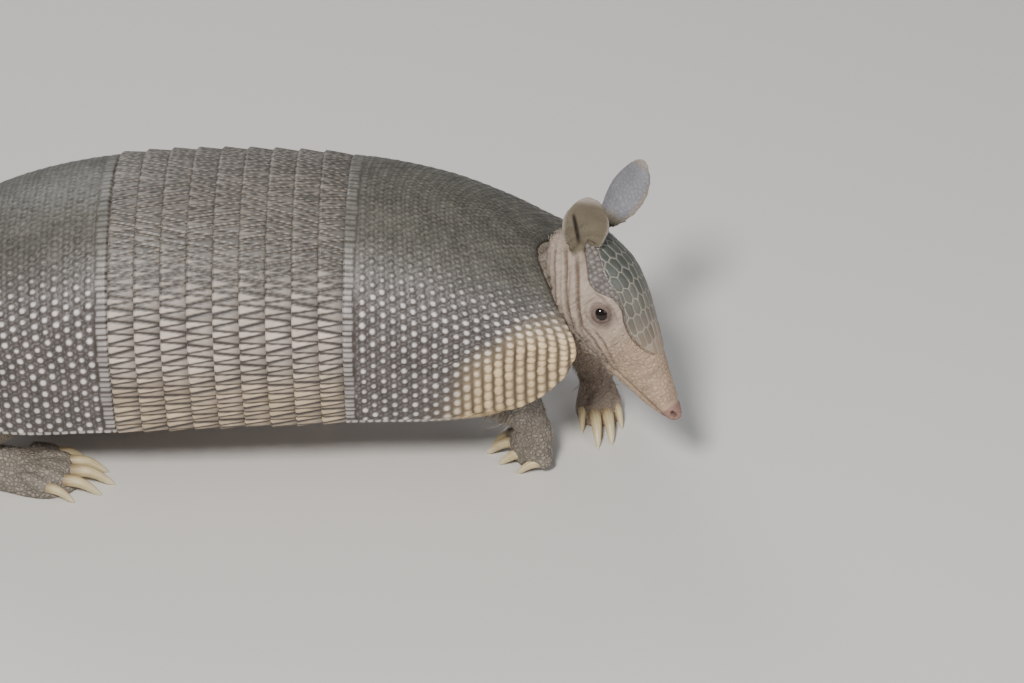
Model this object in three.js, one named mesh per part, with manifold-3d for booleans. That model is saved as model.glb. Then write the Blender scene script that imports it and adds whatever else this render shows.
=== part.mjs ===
// Nine-banded armadillo, life size, standing and turning to its right with its head lowered.
// Millimetres, +X towards the head, +Y to the animal's left, +Z up, feet on z = 0.
import * as THREE from 'three';
import { mergeVertices } from 'three/addons/utils/BufferGeometryUtils.js';
import Module from 'manifold-3d';

const wasm = await Module();
wasm.setup();

// ---- Driving dimensions ---------------------------------------------------------------------

const DEGREE = Math.PI / 180;
const GAP = 0.4; // clearance between neighbours that touch in life
const SHELL = 4; // thickness of the carapace
const PLATE = 1.6; // thickness of the head shield

// Where the frame's origin lies in the layout below: under the middle of the whole animal.
const ORIGIN = new THREE.Vector3(-234, 36, 0);

// Stations run along the back from the carapace's rear edge (0) to its front lobes.
const BAND_COUNT = 9;
const BAND_PITCH = 12.4;
const SCAPULAR_REAR = 232;
const PELVIC_FRONT = SCAPULAR_REAR - BAND_COUNT * BAND_PITCH;
const REAR_X = -311; // layout place of station 0
const TURN_START = 220; // behind this station the back is straight
const TURN_RADIUS = 500; // ahead of it the shoulders turn to the right
const RIM_ANGLE = 110; // degrees from the top of the back down to the carapace's rim
const RIM_TUCK = Math.cos(RIM_ANGLE * DEGREE);

// The carapace and belly at each station.
const backHeight = profile([[0, 84], [22, 106], [60, 130], [110, 145], [165, 150],
  [232, 147], [275, 139], [305, 128], [325, 118], [342, 111], [357, 107]]);
const halfWidth = profile([[0, 33], [22, 47], [60, 61], [110, 67], [165, 68],
  [232, 66], [275, 62], [305, 56], [325, 51], [342, 47], [357, 44]]);
const widestHeight = profile([[0, 60], [22, 66], [60, 78], [110, 84], [232, 86], [342, 84]]);
const rimHeight = profile([[0, 52], [22, 40], [60, 37], [110, 42], [165, 46], [232, 48],
  [290, 48], [342, 52]]);
const bellyHeight = profile([[-8, 44], [40, 34], [150, 33], [250, 36], [330, 52]]);

// The free edges of the two shields, as a station for each angle down from the top.
const scapularFront = profile([[0, 324], [30, 337], [60, 351], [82, 354], [93, 351],
  [100, 343], [107, 328], [110, 308]]);
const pelvicRear = profile([[0, 0], [40, 2], [70, 8], [90, 18], [104, 34], [110, 46]]);

// The head, along its own axis from the back of the skull (0) to the nose.
const HEAD_LENGTH = 107;
const HEAD_PLACE = new THREE.Vector3(20.5, -9.5, 123);
const HEAD_TURN = new THREE.Euler(-26.3 * DEGREE, 40 * DEGREE, -42.8 * DEGREE, 'ZYX');
const headHalfWidth = profile([[0, 14], [10, 19.5], [20, 22.2], [30, 24.5], [45, 21.5], [60, 16.5],
  [75, 12.5], [90, 10], [107, 8]]);
const headTop = profile([[0, 16], [12, 21.5], [30, 25], [45, 23.2], [60, 18.4], [75, 13],
  [90, 8.4], [107, 5]]);
const headBottom = profile([[0, 7], [10, 13], [22, 17.5], [34, 22.5], [45, 21], [60, 17.5], [75, 14],
  [90, 11.5], [107, 8]]);
const EYE = { x: 43, y: 17.6, z: 6.5, radius: 4.7 };
const EARS = {
  left: { root: [11, 14, 15], lean: [-15, 17, 30], length: 40 },
  right: { root: [16, -12, 11], lean: [-20, -9, 26], length: 35 },
};
const EAR_HALF_WIDTH = 12.5;
const EAR_CUP = 6;

// The tail, from inside the rump to its tip, lying on the floor over its rear half.
const TAIL_PATH = [[-304, 0, 54], [-350, 3, 41], [-402, 13, 26], [-452, 34, 14],
  [-492, 64, 8.6], [-524, 100, 5.2], [-546, 140, 2.8]];
const tailRadius = profile([[0, 22.5], [0.15, 20.5], [0.4, 15.5], [0.7, 9], [1, 3]]);
const TAIL_LENGTHS = 5;

// ---- Shaping --------------------------------------------------------------------------------

// A smooth curve through [place, value] pairs, level beyond its ends.
function profile(pairs) {
  const last = pairs.length - 1;
  const slope = (k) => {
    if (k === 0 || k === last) return 0;
    const [before, after] = [pairs[k - 1], pairs[k + 1]];
    return (after[1] - before[1]) / (after[0] - before[0]);
  };
  return (x) => {
    if (x <= pairs[0][0]) return pairs[0][1];
    if (x >= pairs[last][0]) return pairs[last][1];
    let k = 0;
    while (x > pairs[k + 1][0]) k += 1;
    const width = pairs[k + 1][0] - pairs[k][0];
    const t = (x - pairs[k][0]) / width;
    const ease = t * t * (3 - 2 * t);
    const leave = t * (1 - t) * (1 - t) * width * slope(k);
    const arrive = t * t * (t - 1) * width * slope(k + 1);
    return pairs[k][1] * (1 - ease) + pairs[k + 1][1] * ease + leave + arrive;
  };
}

const lerp = THREE.MathUtils.lerp;

// Turns a body right side out if the shaping has left it inside out.
function faceOut(geometry) {
  const at = geometry.attributes.position;
  const index = geometry.index.array;
  const [a, b, c] = [0, 1, 2].map(() => new THREE.Vector3());
  let volume = 0;
  for (let i = 0; i < index.length; i += 3) {
    a.fromBufferAttribute(at, index[i]);
    b.fromBufferAttribute(at, index[i + 1]);
    c.fromBufferAttribute(at, index[i + 2]);
    volume += a.dot(b.cross(c));
  }
  if (volume < 0) {
    for (let i = 0; i < index.length; i += 3) {
      [index[i], index[i + 1]] = [index[i + 1], index[i]];
    }
  }
  return geometry;
}

// One closed body from a unit geometry, each of whose points is moved by place().
function shaped(unit, place) {
  unit.deleteAttribute('normal');
  unit.deleteAttribute('uv');
  const geometry = mergeVertices(unit, 1e-4);
  const at = geometry.attributes.position;
  const point = new THREE.Vector3();
  for (let i = 0; i < at.count; i += 1) {
    point.fromBufferAttribute(at, i);
    const moved = place(point);
    at.setXYZ(i, moved.x, moved.y, moved.z);
  }
  return faceOut(geometry);
}

// A round body with flat ends: place(along 0..1, across, across).
function tube(sides, steps, place) {
  const unit = new THREE.CylinderGeometry(1, 1, 1, sides, steps);
  return shaped(unit, (p) => place(p.y + 0.5, p.x, p.z));
}

// A round body with closed, rounded ends: its section grows from a point as rounding() does.
function egg(sides, steps, power, place) {
  const unit = new THREE.SphereGeometry(1, sides, steps);
  return shaped(unit, (p) => {
    const around = Math.hypot(p.x, p.z) || 1;
    const full = (1 - Math.abs(p.y) ** power) ** (1 / power) || 0;
    return place((p.y + 1) / 2, (p.x / around) * full, (p.z / around) * full);
  });
}

// A plate: place(along 0..1, across 0..1, through 0 inner or 1 outer).
function plate(steps, sides, place) {
  const unit = new THREE.BoxGeometry(1, 1, 1, steps, sides, 1);
  return shaped(unit, (p) => place(p.x + 0.5, p.y + 0.5, p.z + 0.5));
}

function toSolid(geometry) {
  const vertProperties = Float32Array.from(geometry.attributes.position.array);
  const triVerts = Uint32Array.from(geometry.index.array);
  return new wasm.Manifold(new wasm.Mesh({ numProp: 3, vertProperties, triVerts }));
}

function toGeometry(solid) {
  const { vertProperties, triVerts } = solid.getMesh();
  const geometry = new THREE.BufferGeometry();
  geometry.setAttribute('position', new THREE.BufferAttribute(vertProperties, 3));
  geometry.setIndex(new THREE.BufferAttribute(triVerts, 1));
  return geometry;
}

// A body less each of its neighbours, which come grown by the gap. The chips that a cut
// leaves are dropped, and the main piece is kept.
function cutBy(geometry, neighbours) {
  let solid = toSolid(geometry);
  neighbours.forEach((neighbour) => {
    solid = solid.subtract(toSolid(neighbour));
  });
  const pieces = solid.decompose().sort((a, b) => b.volume() - a.volume());
  return toGeometry(pieces[0]);
}

// The part of a body that is above the floor, with small flats where it met the floor.
function standing(geometry) {
  const REACH = 400;
  const floor = new THREE.BoxGeometry(4 * REACH, 4 * REACH, REACH).translate(0, 0, -REACH / 2);
  return cutBy(geometry, [shaped(floor, (p) => p)]);
}

// ---- Finishes -------------------------------------------------------------------------------

const finish = (color, roughness) => new THREE.MeshStandardMaterial({ color, roughness, metalness: 0 });
const FINISHES = {
  shell: finish('#6f6e68', 0.5),
  skin: finish('#a88f7c', 0.65),
  claw: finish('#d9cba6', 0.4),
  eye: finish('#14100e', 0.1),
};

const animal = new THREE.Group();

function add(parent, name, geometry, finishName) {
  geometry.computeVertexNormals();
  const mesh = new THREE.Mesh(geometry, FINISHES[finishName].clone());
  mesh.name = name;
  parent.add(mesh);
}

// ---- Trunk and carapace ---------------------------------------------------------------------

// The point at a station, this far to the left of the middle of the back and this high.
function bodyPoint(station, left, height) {
  const turn = -Math.max(0, station - TURN_START) / TURN_RADIUS;
  const straight = Math.min(station, TURN_START);
  const x = REAR_X + straight - TURN_RADIUS * Math.sin(turn);
  const y = -TURN_RADIUS * (1 - Math.cos(turn));
  return new THREE.Vector3(x - left * Math.sin(turn), y + left * Math.cos(turn), height);
}

// The carapace's surface at a station and an angle from the top, raised or sunk by lift.
function carapacePoint(station, degrees, lift) {
  const angle = degrees * DEGREE;
  const middle = widestHeight(station);
  const rise = backHeight(station) - middle + lift;
  const drop = (middle - rimHeight(station)) / RIM_TUCK;
  const reach = Math.cos(angle) > 0 ? rise : -drop;
  const left = (halfWidth(station) + lift) * Math.sin(angle);
  return bodyPoint(station, left, middle + reach * Math.cos(angle));
}

// A length of carapace between two edges, each a station for an angle from the top.
function carapacePlate(rear, front, steps, lift, grow) {
  return plate(steps, 18, (u, v, t) => {
    const degrees = (2 * v - 1) * (RIM_ANGLE + grow);
    const from = rear(Math.abs(degrees)) - grow;
    const to = front(Math.abs(degrees)) + grow;
    const outer = lift(u) + grow;
    return carapacePoint(lerp(from, to, u), degrees, t === 1 ? outer : -SHELL - grow);
  });
}

const level = (station) => () => station;
const flush = () => 0;
// A band stands proud at its rear edge, where it rides over the band behind it.
const tiled = (u) => lerp(0.9, -0.6, u);

const pelvicShield = (grow) => carapacePlate(pelvicRear, level(PELVIC_FRONT - GAP / 2), 8, flush, grow);
const scapularShield = (grow) => carapacePlate(level(SCAPULAR_REAR + GAP / 2), scapularFront, 7,
  flush, grow);

function band(number) {
  const front = SCAPULAR_REAR - (number - 1) * BAND_PITCH - GAP / 2;
  return carapacePlate(level(front - BAND_PITCH + GAP), level(front), 1, tiled, 0);
}

// The flesh under the carapace, from the rump to the root of the neck.
function trunk(grow) {
  const [REAR, FRONT] = [-9, 326];
  return egg(20, 15, 5, (u, left, up) => {
    const station = lerp(REAR - grow, FRONT + grow, u);
    const sunk = grow - SHELL - GAP;
    const middle = widestHeight(station);
    const rise = backHeight(station) - middle + sunk;
    const drop = middle - bellyHeight(station) + grow;
    const height = middle + (up > 0 ? rise : drop) * up;
    return bodyPoint(station, (halfWidth(station) + sunk) * left, height);
  });
}

// ---- Head -----------------------------------------------------------------------------------

// The head's surface at a place along it: left and up are parts of the full half section.
function headSection(x, left, up, grow) {
  const height = up > 0 ? headTop(x) + grow : headBottom(x) + grow;
  return new THREE.Vector3(x, left * (headHalfWidth(x) + grow), up * height);
}

function wholeHead(grow) {
  return egg(18, 14, 3.2, (u, left, up) => {
    const x = lerp(-grow, HEAD_LENGTH + grow, u);
    return headSection(x, left, up, grow);
  });
}

// The bony shield over the crown and the bridge of the snout.
function headShield(grow) {
  const [REAR, FRONT] = [9, 79];
  const spread = profile([[REAR, 34], [22, 52], [34, 59], [46, 48], [60, 55], [FRONT, 26]]);
  return plate(6, 6, (u, v, t) => {
    const x = lerp(REAR - grow, FRONT + grow, u);
    const angle = (2 * v - 1) * (spread(x) + 2 * grow) * DEGREE;
    const lift = t === 1 ? grow * 2 : -PLATE - grow;
    return headSection(x, Math.sin(angle), Math.cos(angle), lift);
  });
}

// The room that the lower jaw takes, under the line of the mouth.
function jawRoom(grow) {
  const [REAR, FRONT] = [38, HEAD_LENGTH - 6];
  const MOUTH = profile([[REAR, -15], [70, -7.5], [FRONT, -4]]);
  return plate(4, 1, (u, v, t) => {
    const x = lerp(REAR - grow, FRONT + grow, u);
    const z = t === 1 ? MOUTH(x) + grow : -40;
    return new THREE.Vector3(x, lerp(-30, 30, v), z);
  });
}

function eyeball(side, grow) {
  const unit = new THREE.SphereGeometry(EYE.radius + grow, 8, 6);
  return shaped(unit, (p) => p.clone().add(new THREE.Vector3(EYE.x, side * EYE.y, EYE.z)));
}

// An ear: a cupped, flattened leaf, open forwards and outwards.
function ear({ root, lean, length }) {
  const long = new THREE.Vector3(...lean).normalize();
  const open = new THREE.Vector3(0.4, 0.9 * Math.sign(root[1]), 0.1);
  open.addScaledVector(long, -open.dot(long)).normalize();
  const wide = new THREE.Vector3().crossVectors(long, open);
  const width = profile([[0, 6], [0.3, 10.5], [0.62, EAR_HALF_WIDTH], [1, 9.5]]);
  return egg(10, 6, 2.6, (u, across, through) => {
    const rolled = EAR_CUP * (1 - 0.5 * u) * (across * across - 0.5);
    return new THREE.Vector3(...root)
      .addScaledVector(long, u * length)
      .addScaledVector(wide, across * width(u))
      .addScaledVector(open, rolled + through * lerp(2.4, 1.1, u));
  });
}

const head = new THREE.Group();
head.position.copy(HEAD_PLACE);
head.rotation.copy(HEAD_TURN);
head.updateMatrix();
animal.add(head);

const sockets = [-1, 1].map((side) => eyeball(side, GAP));
const shoulderEdge = scapularShield(GAP).applyMatrix4(head.matrix.clone().invert());
const jaw = toSolid(wholeHead(0)).intersect(toSolid(jawRoom(0)));
const headClear = [headShield(GAP), jawRoom(GAP), shoulderEdge, ...sockets];
add(head, 'head', cutBy(wholeHead(0), headClear), 'skin');
add(head, 'jaw', toGeometry(jaw), 'skin');
add(head, 'head_shield', headShield(0), 'shell');
[[1, 'left'], [-1, 'right']].forEach(([side, word]) => {
  add(head, `eye_${word}`, eyeball(side, 0), 'eye');
  add(head, `ear_${word}`, cutBy(ear(EARS[word]), [wholeHead(GAP), headShield(GAP)]), 'skin');
});

// ---- Neck -----------------------------------------------------------------------------------

// A round length of flesh along a path; across and deep are its half sizes.
function limb(path, sides, steps, from, to, across, deep) {
  const curve = new THREE.CatmullRomCurve3(path.map((p) => new THREE.Vector3(...p)));
  return tube(sides, steps, (u, x, z) => {
    const t = lerp(from, to, u);
    const forward = curve.getTangent(t);
    const side = new THREE.Vector3(0, 1, 0).addScaledVector(forward, -forward.y).normalize();
    const up = new THREE.Vector3().crossVectors(forward, side);
    return curve.getPoint(t)
      .addScaledVector(side, x * across(t))
      .addScaledVector(up, z * deep(t));
  });
}

function neck(grow) {
  const PATH = [[-30, -6, 74], [-6, -9, 77], [12, -14, 88], [30, -23, 103]];
  const across = profile([[0, 42 + grow], [0.45, 36 + grow], [0.8, 27 + grow], [1, 21 + grow]]);
  const deep = profile([[0, 30 + grow], [0.45, 27 + grow], [0.8, 22 + grow], [1, 18 + grow]]);
  return limb(PATH, 16, 5, 0, 1, across, deep);
}

const headInPlace = wholeHead(GAP).applyMatrix4(head.matrix);
add(animal, 'trunk', trunk(0), 'skin');
const neckClear = [trunk(GAP), scapularShield(GAP), headInPlace];
add(animal, 'neck', cutBy(neck(0), neckClear), 'skin');
add(animal, 'pelvic_shield', pelvicShield(0), 'shell');
add(animal, 'scapular_shield', scapularShield(0), 'shell');
for (let number = 1; number <= BAND_COUNT; number += 1) {
  add(animal, `band_${number}`, band(number), 'shell');
}

// ---- Tail -----------------------------------------------------------------------------------

const tailClear = [trunk(GAP)];
for (let number = 1; number <= TAIL_LENGTHS; number += 1) {
  const share = 1 / TAIL_LENGTHS;
  const from = (number - 1) * share;
  const half = number === TAIL_LENGTHS ? 0 : 0.0007;
  const piece = limb(TAIL_PATH, 12, 4, from + 0.0007, number * share - half, tailRadius, tailRadius);
  const cut = number === 1 ? cutBy(piece, tailClear) : piece;
  add(animal, `tail_${number}`, standing(cut), 'shell');
}

// ---- Legs -----------------------------------------------------------------------------------

// A claw from its root to its tip, curved downwards.
function claw({ root, tip, width }) {
  const [start, end] = [new THREE.Vector3(...root), new THREE.Vector3(...tip)];
  const bulge = start.distanceTo(end) * 0.14;
  const middle = start.clone().lerp(end, 0.5).add(new THREE.Vector3(0, 0, bulge));
  const path = [start, middle, end].map((p) => p.toArray());
  const thin = profile([[0, width / 2], [0.5, width * 0.42], [1, 0.5]]);
  const tall = profile([[0, width * 0.5], [0.5, width * 0.45], [1, 0.6]]);
  return limb(path, 6, 3, 0, 1, thin, tall);
}

// A planted foot on its flat sole: heel at x = 0, toes towards +X.
function planted({ length, height, half, lift }) {
  return (grow) => egg(10, 8, 2.8, (u, left, up) => {
    const x = lerp(-grow, length + grow, u);
    const tall = up > 0 ? height(u) + grow : lift(u) + 2 + grow;
    return new THREE.Vector3(x, left * (half(u) + grow), lift(u) + up * tall);
  });
}

// The claws of a planted foot, fanned a little from their roots to their tips.
function fan(height, toes) {
  const spread = 1.2;
  return toes.map(([y, from, to, width]) => (
    { root: [from, y, height], tip: [to, y * spread, -0.2], width }));
}

const HIND_FOOT = {
  body: planted({
    length: 66,
    height: profile([[0, 17], [0.3, 17], [0.65, 12], [1, 7]]),
    half: profile([[0, 10], [0.35, 12], [0.8, 17], [1, 15]]),
    lift: () => 1,
  }),
  claws: fan(7, [[-13, 50, 66, 5], [-7, 57, 78, 6], [0, 59, 83, 6.4], [7, 57, 78, 6], [13, 50, 66, 5]]),
};

const FORE_FOOT = {
  body: planted({
    length: 30,
    height: profile([[0, 14], [0.5, 11], [1, 7]]),
    half: profile([[0, 8.5], [0.6, 12], [1, 11]]),
    lift: profile([[0, 8], [0.5, 3], [1, 1]]),
  }),
  claws: fan(7, [[-8.6, 20, 33, 4.4], [-3, 24, 46, 6], [3, 24, 44, 6], [8.4, 20, 32, 4.4]]),
};

// The right forefoot is folded back in mid stride. Its hand stands on the knuckles, which run
// obliquely outwards and forwards, and the claws trail straight back.
const KNUCKLE_ROW = new THREE.Vector3(0.766, -0.643, 0);
const FOLDED_FOOT = {
  body: (grow) => egg(10, 8, 2.6, (u, along, through) => {
    const wide = profile([[0, 10], [0.4, 12], [1, 9.5]])(u) + grow;
    const thick = profile([[0, 6], [0.5, 7.5], [1, 9]])(u) + grow;
    const centre = new THREE.Vector3(lerp(-2, 3, u), 0, lerp(-1 - grow, 29 + grow, u));
    const across = new THREE.Vector3(-KNUCKLE_ROW.y, KNUCKLE_ROW.x, 0);
    return centre.addScaledVector(KNUCKLE_ROW, along * wide).addScaledVector(across, through * thick);
  }),
  claws: [
    { root: [-9, 11, 10], tip: [-19, 12, -0.2], width: 4.4 },
    { root: [-5, 6, 9], tip: [-22, 7, -0.2], width: 5.8 },
    { root: [1, -1, 8], tip: [-16, -1, -0.2], width: 5.8 },
    { root: [7, -7, 7], tip: [-7, -8, -0.2], width: 5 },
  ],
};

const LEGS = [
  {
    name: 'foreleg_left', foot: FORE_FOOT, place: [42, 19], heading: -84,
    path: [[-8, 22, 84], [10, 20, 64], [34, 15, 44], [42, 13, 20]],
    thick: profile([[0, 18], [0.5, 15], [1, 11]]), thin: profile([[0, 14], [0.5, 13.5], [1, 11]]),
  },
  {
    name: 'foreleg_right', foot: FOLDED_FOOT, place: [9, -37], heading: 0,
    path: [[-30, -36, 86], [-20, -40, 66], [0, -39, 46], [11, -37, 24]],
    thick: profile([[0, 20], [0.5, 16], [1, 9]]), thin: profile([[0, 14], [0.5, 13], [1, 9]]),
  },
  {
    name: 'hindleg_left', foot: HIND_FOOT, place: [-246, 43], heading: 6,
    path: [[-232, 38, 84], [-214, 43, 62], [-222, 44, 40], [-236, 43, 17]],
    thick: profile([[0, 26], [0.5, 19], [1, 9.5]]), thin: profile([[0, 16], [0.5, 14], [1, 8.5]]),
  },
  {
    name: 'hindleg_right', foot: HIND_FOOT, place: [-278, -43], heading: -7,
    path: [[-246, -38, 84], [-236, -43, 62], [-252, -44, 40], [-268, -43, 17]],
    thick: profile([[0, 26], [0.5, 19], [1, 9.5]]), thin: profile([[0, 16], [0.5, 14], [1, 8.5]]),
  },
];

const LEG_SPLIT = 0.52; // where the upper length ends and the lower begins, along the path
const legClear = [trunk(GAP), neck(GAP), scapularShield(GAP), pelvicShield(GAP)];

LEGS.forEach(({ name, foot, place, heading, path, thick, thin }) => {
  const group = new THREE.Group();
  group.position.set(place[0], place[1], 0);
  group.rotation.z = heading * DEGREE;
  group.updateMatrix();
  animal.add(group);

  const footInPlace = foot.body(GAP).applyMatrix4(group.matrix);
  const upper = limb(path, 12, 5, 0, LEG_SPLIT - 0.003, thin, thick);
  const lower = limb(path, 12, 4, LEG_SPLIT + 0.003, 1, thin, thick);
  add(animal, `${name}_upper`, cutBy(upper, legClear), 'skin');
  add(animal, `${name}_lower`, cutBy(lower, [...legClear, footInPlace]), 'skin');
  add(group, `${name}_foot`, standing(foot.body(0)), 'skin');
  foot.claws.forEach((shape, k) => {
    const body = cutBy(claw(shape), [foot.body(GAP)]);
    add(group, `${name}_claw_${k + 1}`, standing(body), 'claw');
  });
});

animal.position.copy(ORIGIN).negate();

export default animal;
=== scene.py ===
# Nine-banded armadillo, a life-size still model. +X towards the head, +Y to the animal's left,
# +Z up, feet on z = 0. Shapes are worked out in millimetres and written in metres.
import math

import bmesh
import bpy
import numpy as np
from mathutils import Euler, Matrix, Vector, noise
from mathutils.kdtree import KDTree


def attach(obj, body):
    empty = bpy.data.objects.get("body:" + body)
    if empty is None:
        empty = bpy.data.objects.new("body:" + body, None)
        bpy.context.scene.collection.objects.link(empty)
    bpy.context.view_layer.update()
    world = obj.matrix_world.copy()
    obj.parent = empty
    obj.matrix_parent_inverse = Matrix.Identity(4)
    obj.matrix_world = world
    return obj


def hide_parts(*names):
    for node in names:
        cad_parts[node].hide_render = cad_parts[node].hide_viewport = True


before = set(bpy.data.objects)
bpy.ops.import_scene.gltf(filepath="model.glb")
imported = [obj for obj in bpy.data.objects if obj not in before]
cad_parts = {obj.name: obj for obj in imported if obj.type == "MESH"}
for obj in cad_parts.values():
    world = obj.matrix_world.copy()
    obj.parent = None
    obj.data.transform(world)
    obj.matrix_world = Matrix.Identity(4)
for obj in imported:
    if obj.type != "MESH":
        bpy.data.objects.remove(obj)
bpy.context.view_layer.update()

# ---- Camera, lights and floor -------------------------------------------------------------
# The model is seen from its right side and from above, with its head near the middle. A large
# soft lamp beside the camera lights it, with a weaker one behind, on a plain pale floor.

ELEVATION = math.radians(40)
DISTANCE = 1.665
AIM = Vector((0.234, -0.060, 0.068))
FLOOR_TONE = (0.66, 0.64, 0.61, 1.0)
SKY_TONE = (0.80, 0.83, 0.88, 1.0)

camera_data = bpy.data.cameras.new("camera")
camera_data.lens = 120
camera_data.sensor_width = 36
camera_data.clip_start = 0.05
camera = bpy.data.objects.new("camera", camera_data)
camera.location = AIM + DISTANCE * Vector((0, -math.cos(ELEVATION), math.sin(ELEVATION)))
camera.rotation_euler = (math.pi / 2 - ELEVATION, 0, 0)
bpy.context.scene.collection.objects.link(camera)
bpy.context.scene.camera = camera


def soft_lamp(name, place, size, watts, tone):
    lamp_data = bpy.data.lights.new(name, "AREA")
    lamp_data.shape = "DISK"
    lamp_data.size = size
    lamp_data.energy = watts
    lamp_data.color = tone
    lamp = bpy.data.objects.new(name, lamp_data)
    lamp.location = place
    lamp.rotation_euler = (Vector(place) - AIM).to_track_quat("Z", "Y").to_euler()
    bpy.context.scene.collection.objects.link(lamp)


soft_lamp("key_lamp", (-0.10, -1.10, 1.45), 0.35, 34, (1.0, 0.97, 0.93))
soft_lamp("fill_lamp", (1.5, -0.6, 1.0), 1.2, 7, (0.92, 0.96, 1.0))
soft_lamp("back_lamp", (-0.6, 1.5, 1.3), 1.0, 14, (0.95, 0.97, 1.0))

world = bpy.data.worlds.new("studio")
world.use_nodes = True
world.node_tree.nodes["Background"].inputs["Color"].default_value = SKY_TONE
world.node_tree.nodes["Background"].inputs["Strength"].default_value = 0.22
bpy.context.scene.world = world


def plain_material(name, tone, roughness):
    material = bpy.data.materials.new(name)
    material.use_nodes = True
    shader = material.node_tree.nodes["Principled BSDF"]
    shader.inputs["Base Color"].default_value = tone
    shader.inputs["Roughness"].default_value = roughness
    return material


def linked_object(name, bm, material):
    """Puts a bmesh in the scene as an object at the origin, with smooth faces."""
    mesh = bpy.data.meshes.new(name)
    bm.to_mesh(mesh)
    bm.free()
    mesh.shade_smooth()
    mesh.materials.append(material)
    piece = bpy.data.objects.new(name, mesh)
    bpy.context.scene.collection.objects.link(piece)
    return piece


bm = bmesh.new()
bmesh.ops.create_circle(bm, cap_ends=True, segments=96, radius=6)
floor = linked_object("floor", bm, plain_material("floor_paint", FLOOR_TONE, 0.8))

# ---- Carapace -----------------------------------------------------------------------------
# The shell is bone under horny scutes: a shield over the shoulders, nine hinged bands and a
# shield over the hips. A band's rear edge rides over the front of the band behind it.

ORIGIN = np.array((-234, 36, 0))  # the frame's origin in the layout that follows
TO_METRES = 0.001
TO_MM = 1000
SHELL = 4  # thickness of the shell
GAP = 0.4  # between one piece of shell and the next
BAND_COUNT = 9
BAND_PITCH = 12.4
SCAPULAR_REAR = 232
PELVIC_FRONT = SCAPULAR_REAR - BAND_COUNT * BAND_PITCH
REAR_X = -311
TURN_START = 220  # from this station on, the body turns to its right
TURN_RADIUS = 500
RIM_ANGLE = 110  # degrees from the top of the back, round to the shell's rim
TUCK = 1.6  # how far a front edge runs in under the edge ahead of it
TUCK_DEPTH = 1.9
LIP = 1.5  # thickness of a rear edge where it rides over what is behind it


def curve_through(*pairs):
    """A smooth curve through (place, value) pairs, level beyond its ends."""
    at, value = np.array(pairs, float).T
    slope = np.zeros(len(at))
    slope[1:-1] = (value[2:] - value[:-2]) / (at[2:] - at[:-2])

    def height(place):
        place = np.clip(place, at[0], at[-1])
        k = np.clip(np.searchsorted(at, place, side="left") - 1, 0, len(at) - 2)
        width = at[k + 1] - at[k]
        t = (place - at[k]) / width
        ease = t * t * (3 - 2 * t)
        bend = t * (1 - t) ** 2 * slope[k] + t * t * (t - 1) * slope[k + 1]
        return value[k] * (1 - ease) + value[k + 1] * ease + width * bend

    return height


back_height = curve_through((0, 84), (22, 106), (60, 130), (110, 145), (165, 150), (232, 147),
                            (275, 139), (305, 128), (325, 118), (342, 111), (357, 107))
half_width = curve_through((0, 33), (22, 47), (60, 61), (110, 67), (165, 68), (232, 66),
                           (275, 62), (305, 56), (325, 51), (342, 47), (357, 44))
widest_height = curve_through((0, 60), (22, 66), (60, 78), (110, 84), (232, 86), (342, 84))
rim_height = curve_through((0, 52), (22, 40), (60, 37), (110, 42), (165, 46), (232, 48),
                           (290, 48), (342, 52))
belly_height = curve_through((-8, 44), (40, 34), (150, 33), (250, 36), (330, 52))
scapular_front = curve_through((0, 324), (30, 337), (60, 351), (82, 354), (93, 351),
                               (100, 343), (107, 328), (110, 308))
pelvic_rear = curve_through((0, 0), (40, 2), (70, 8), (90, 18), (104, 34), (110, 46))


def smooth_step(low, high, value):
    t = np.clip((value - low) / (high - low), 0, 1)
    return t * t * (3 - 2 * t)


def lerp(start, end, t):
    return start + (end - start) * t


def body_point(station, left, height):
    """The point at a station, this far to the left of the middle of the back and this high."""
    turn = -np.maximum(0, station - TURN_START) / TURN_RADIUS
    x = REAR_X + np.minimum(station, TURN_START) - TURN_RADIUS * np.sin(turn)
    y = -TURN_RADIUS * (1 - np.cos(turn))
    return np.stack((x - left * np.sin(turn), y + left * np.cos(turn), height), axis=-1)


def carapace_point(station, degrees, lift):
    """The carapace's surface at a station and an angle from the top, raised by lift."""
    angle = np.radians(degrees)
    middle = widest_height(station)
    rise = back_height(station) - middle + lift
    drop = (middle - rim_height(station)) / math.cos(math.radians(RIM_ANGLE))
    reach = np.where(np.cos(angle) > 0, rise, -drop)
    left = (half_width(station) + lift) * np.sin(angle)
    return body_point(station, left, middle + reach * np.cos(angle))


# Distance round the shell from the top of the back, for each angle, at the shell's middle.
ARC_ANGLES = np.linspace(0, RIM_ANGLE, 221)
arc_steps = np.diff(carapace_point(np.full(221, 200.0), ARC_ANGLES, 0.0), axis=0)
ARC = np.concatenate(((0,), np.cumsum(np.linalg.norm(arc_steps, axis=1))))
ARC_LOW = np.interp(72, ARC_ANGLES, ARC)  # scutes are broader round the shell below here


def plate_piece(name, rows, columns, coarse, shape, material):
    """A closed plate. A fine grid is its outer face and a coarser one its inner face, and a wall
    joins their edges. shape(u, v, outer) gives each point's place and colour."""
    bm = bmesh.new()
    bmesh.ops.create_grid(bm, x_segments=rows, y_segments=columns, size=0.5)
    back = bmesh.ops.create_grid(bm, x_segments=max(2, rows // coarse[0]),
                                 y_segments=columns // coarse[1], size=0.5)
    bmesh.ops.translate(bm, verts=back["verts"], vec=(0, 0, -1))
    bmesh.ops.bridge_loops(bm, edges=[edge for edge in bm.edges if edge.is_boundary])
    flat = np.array([vertex.co for vertex in bm.verts])
    outer = flat[:, 2] > -0.5
    points, tones = shape(flat[:, 0] + 0.5, flat[:, 1] + 0.5, outer)
    place_vertices(bm, points)
    piece = linked_object(name, bm, material)
    tint_points(piece, np.where(outer[:, None], tones, UNDER_TONE))
    return piece


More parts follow.
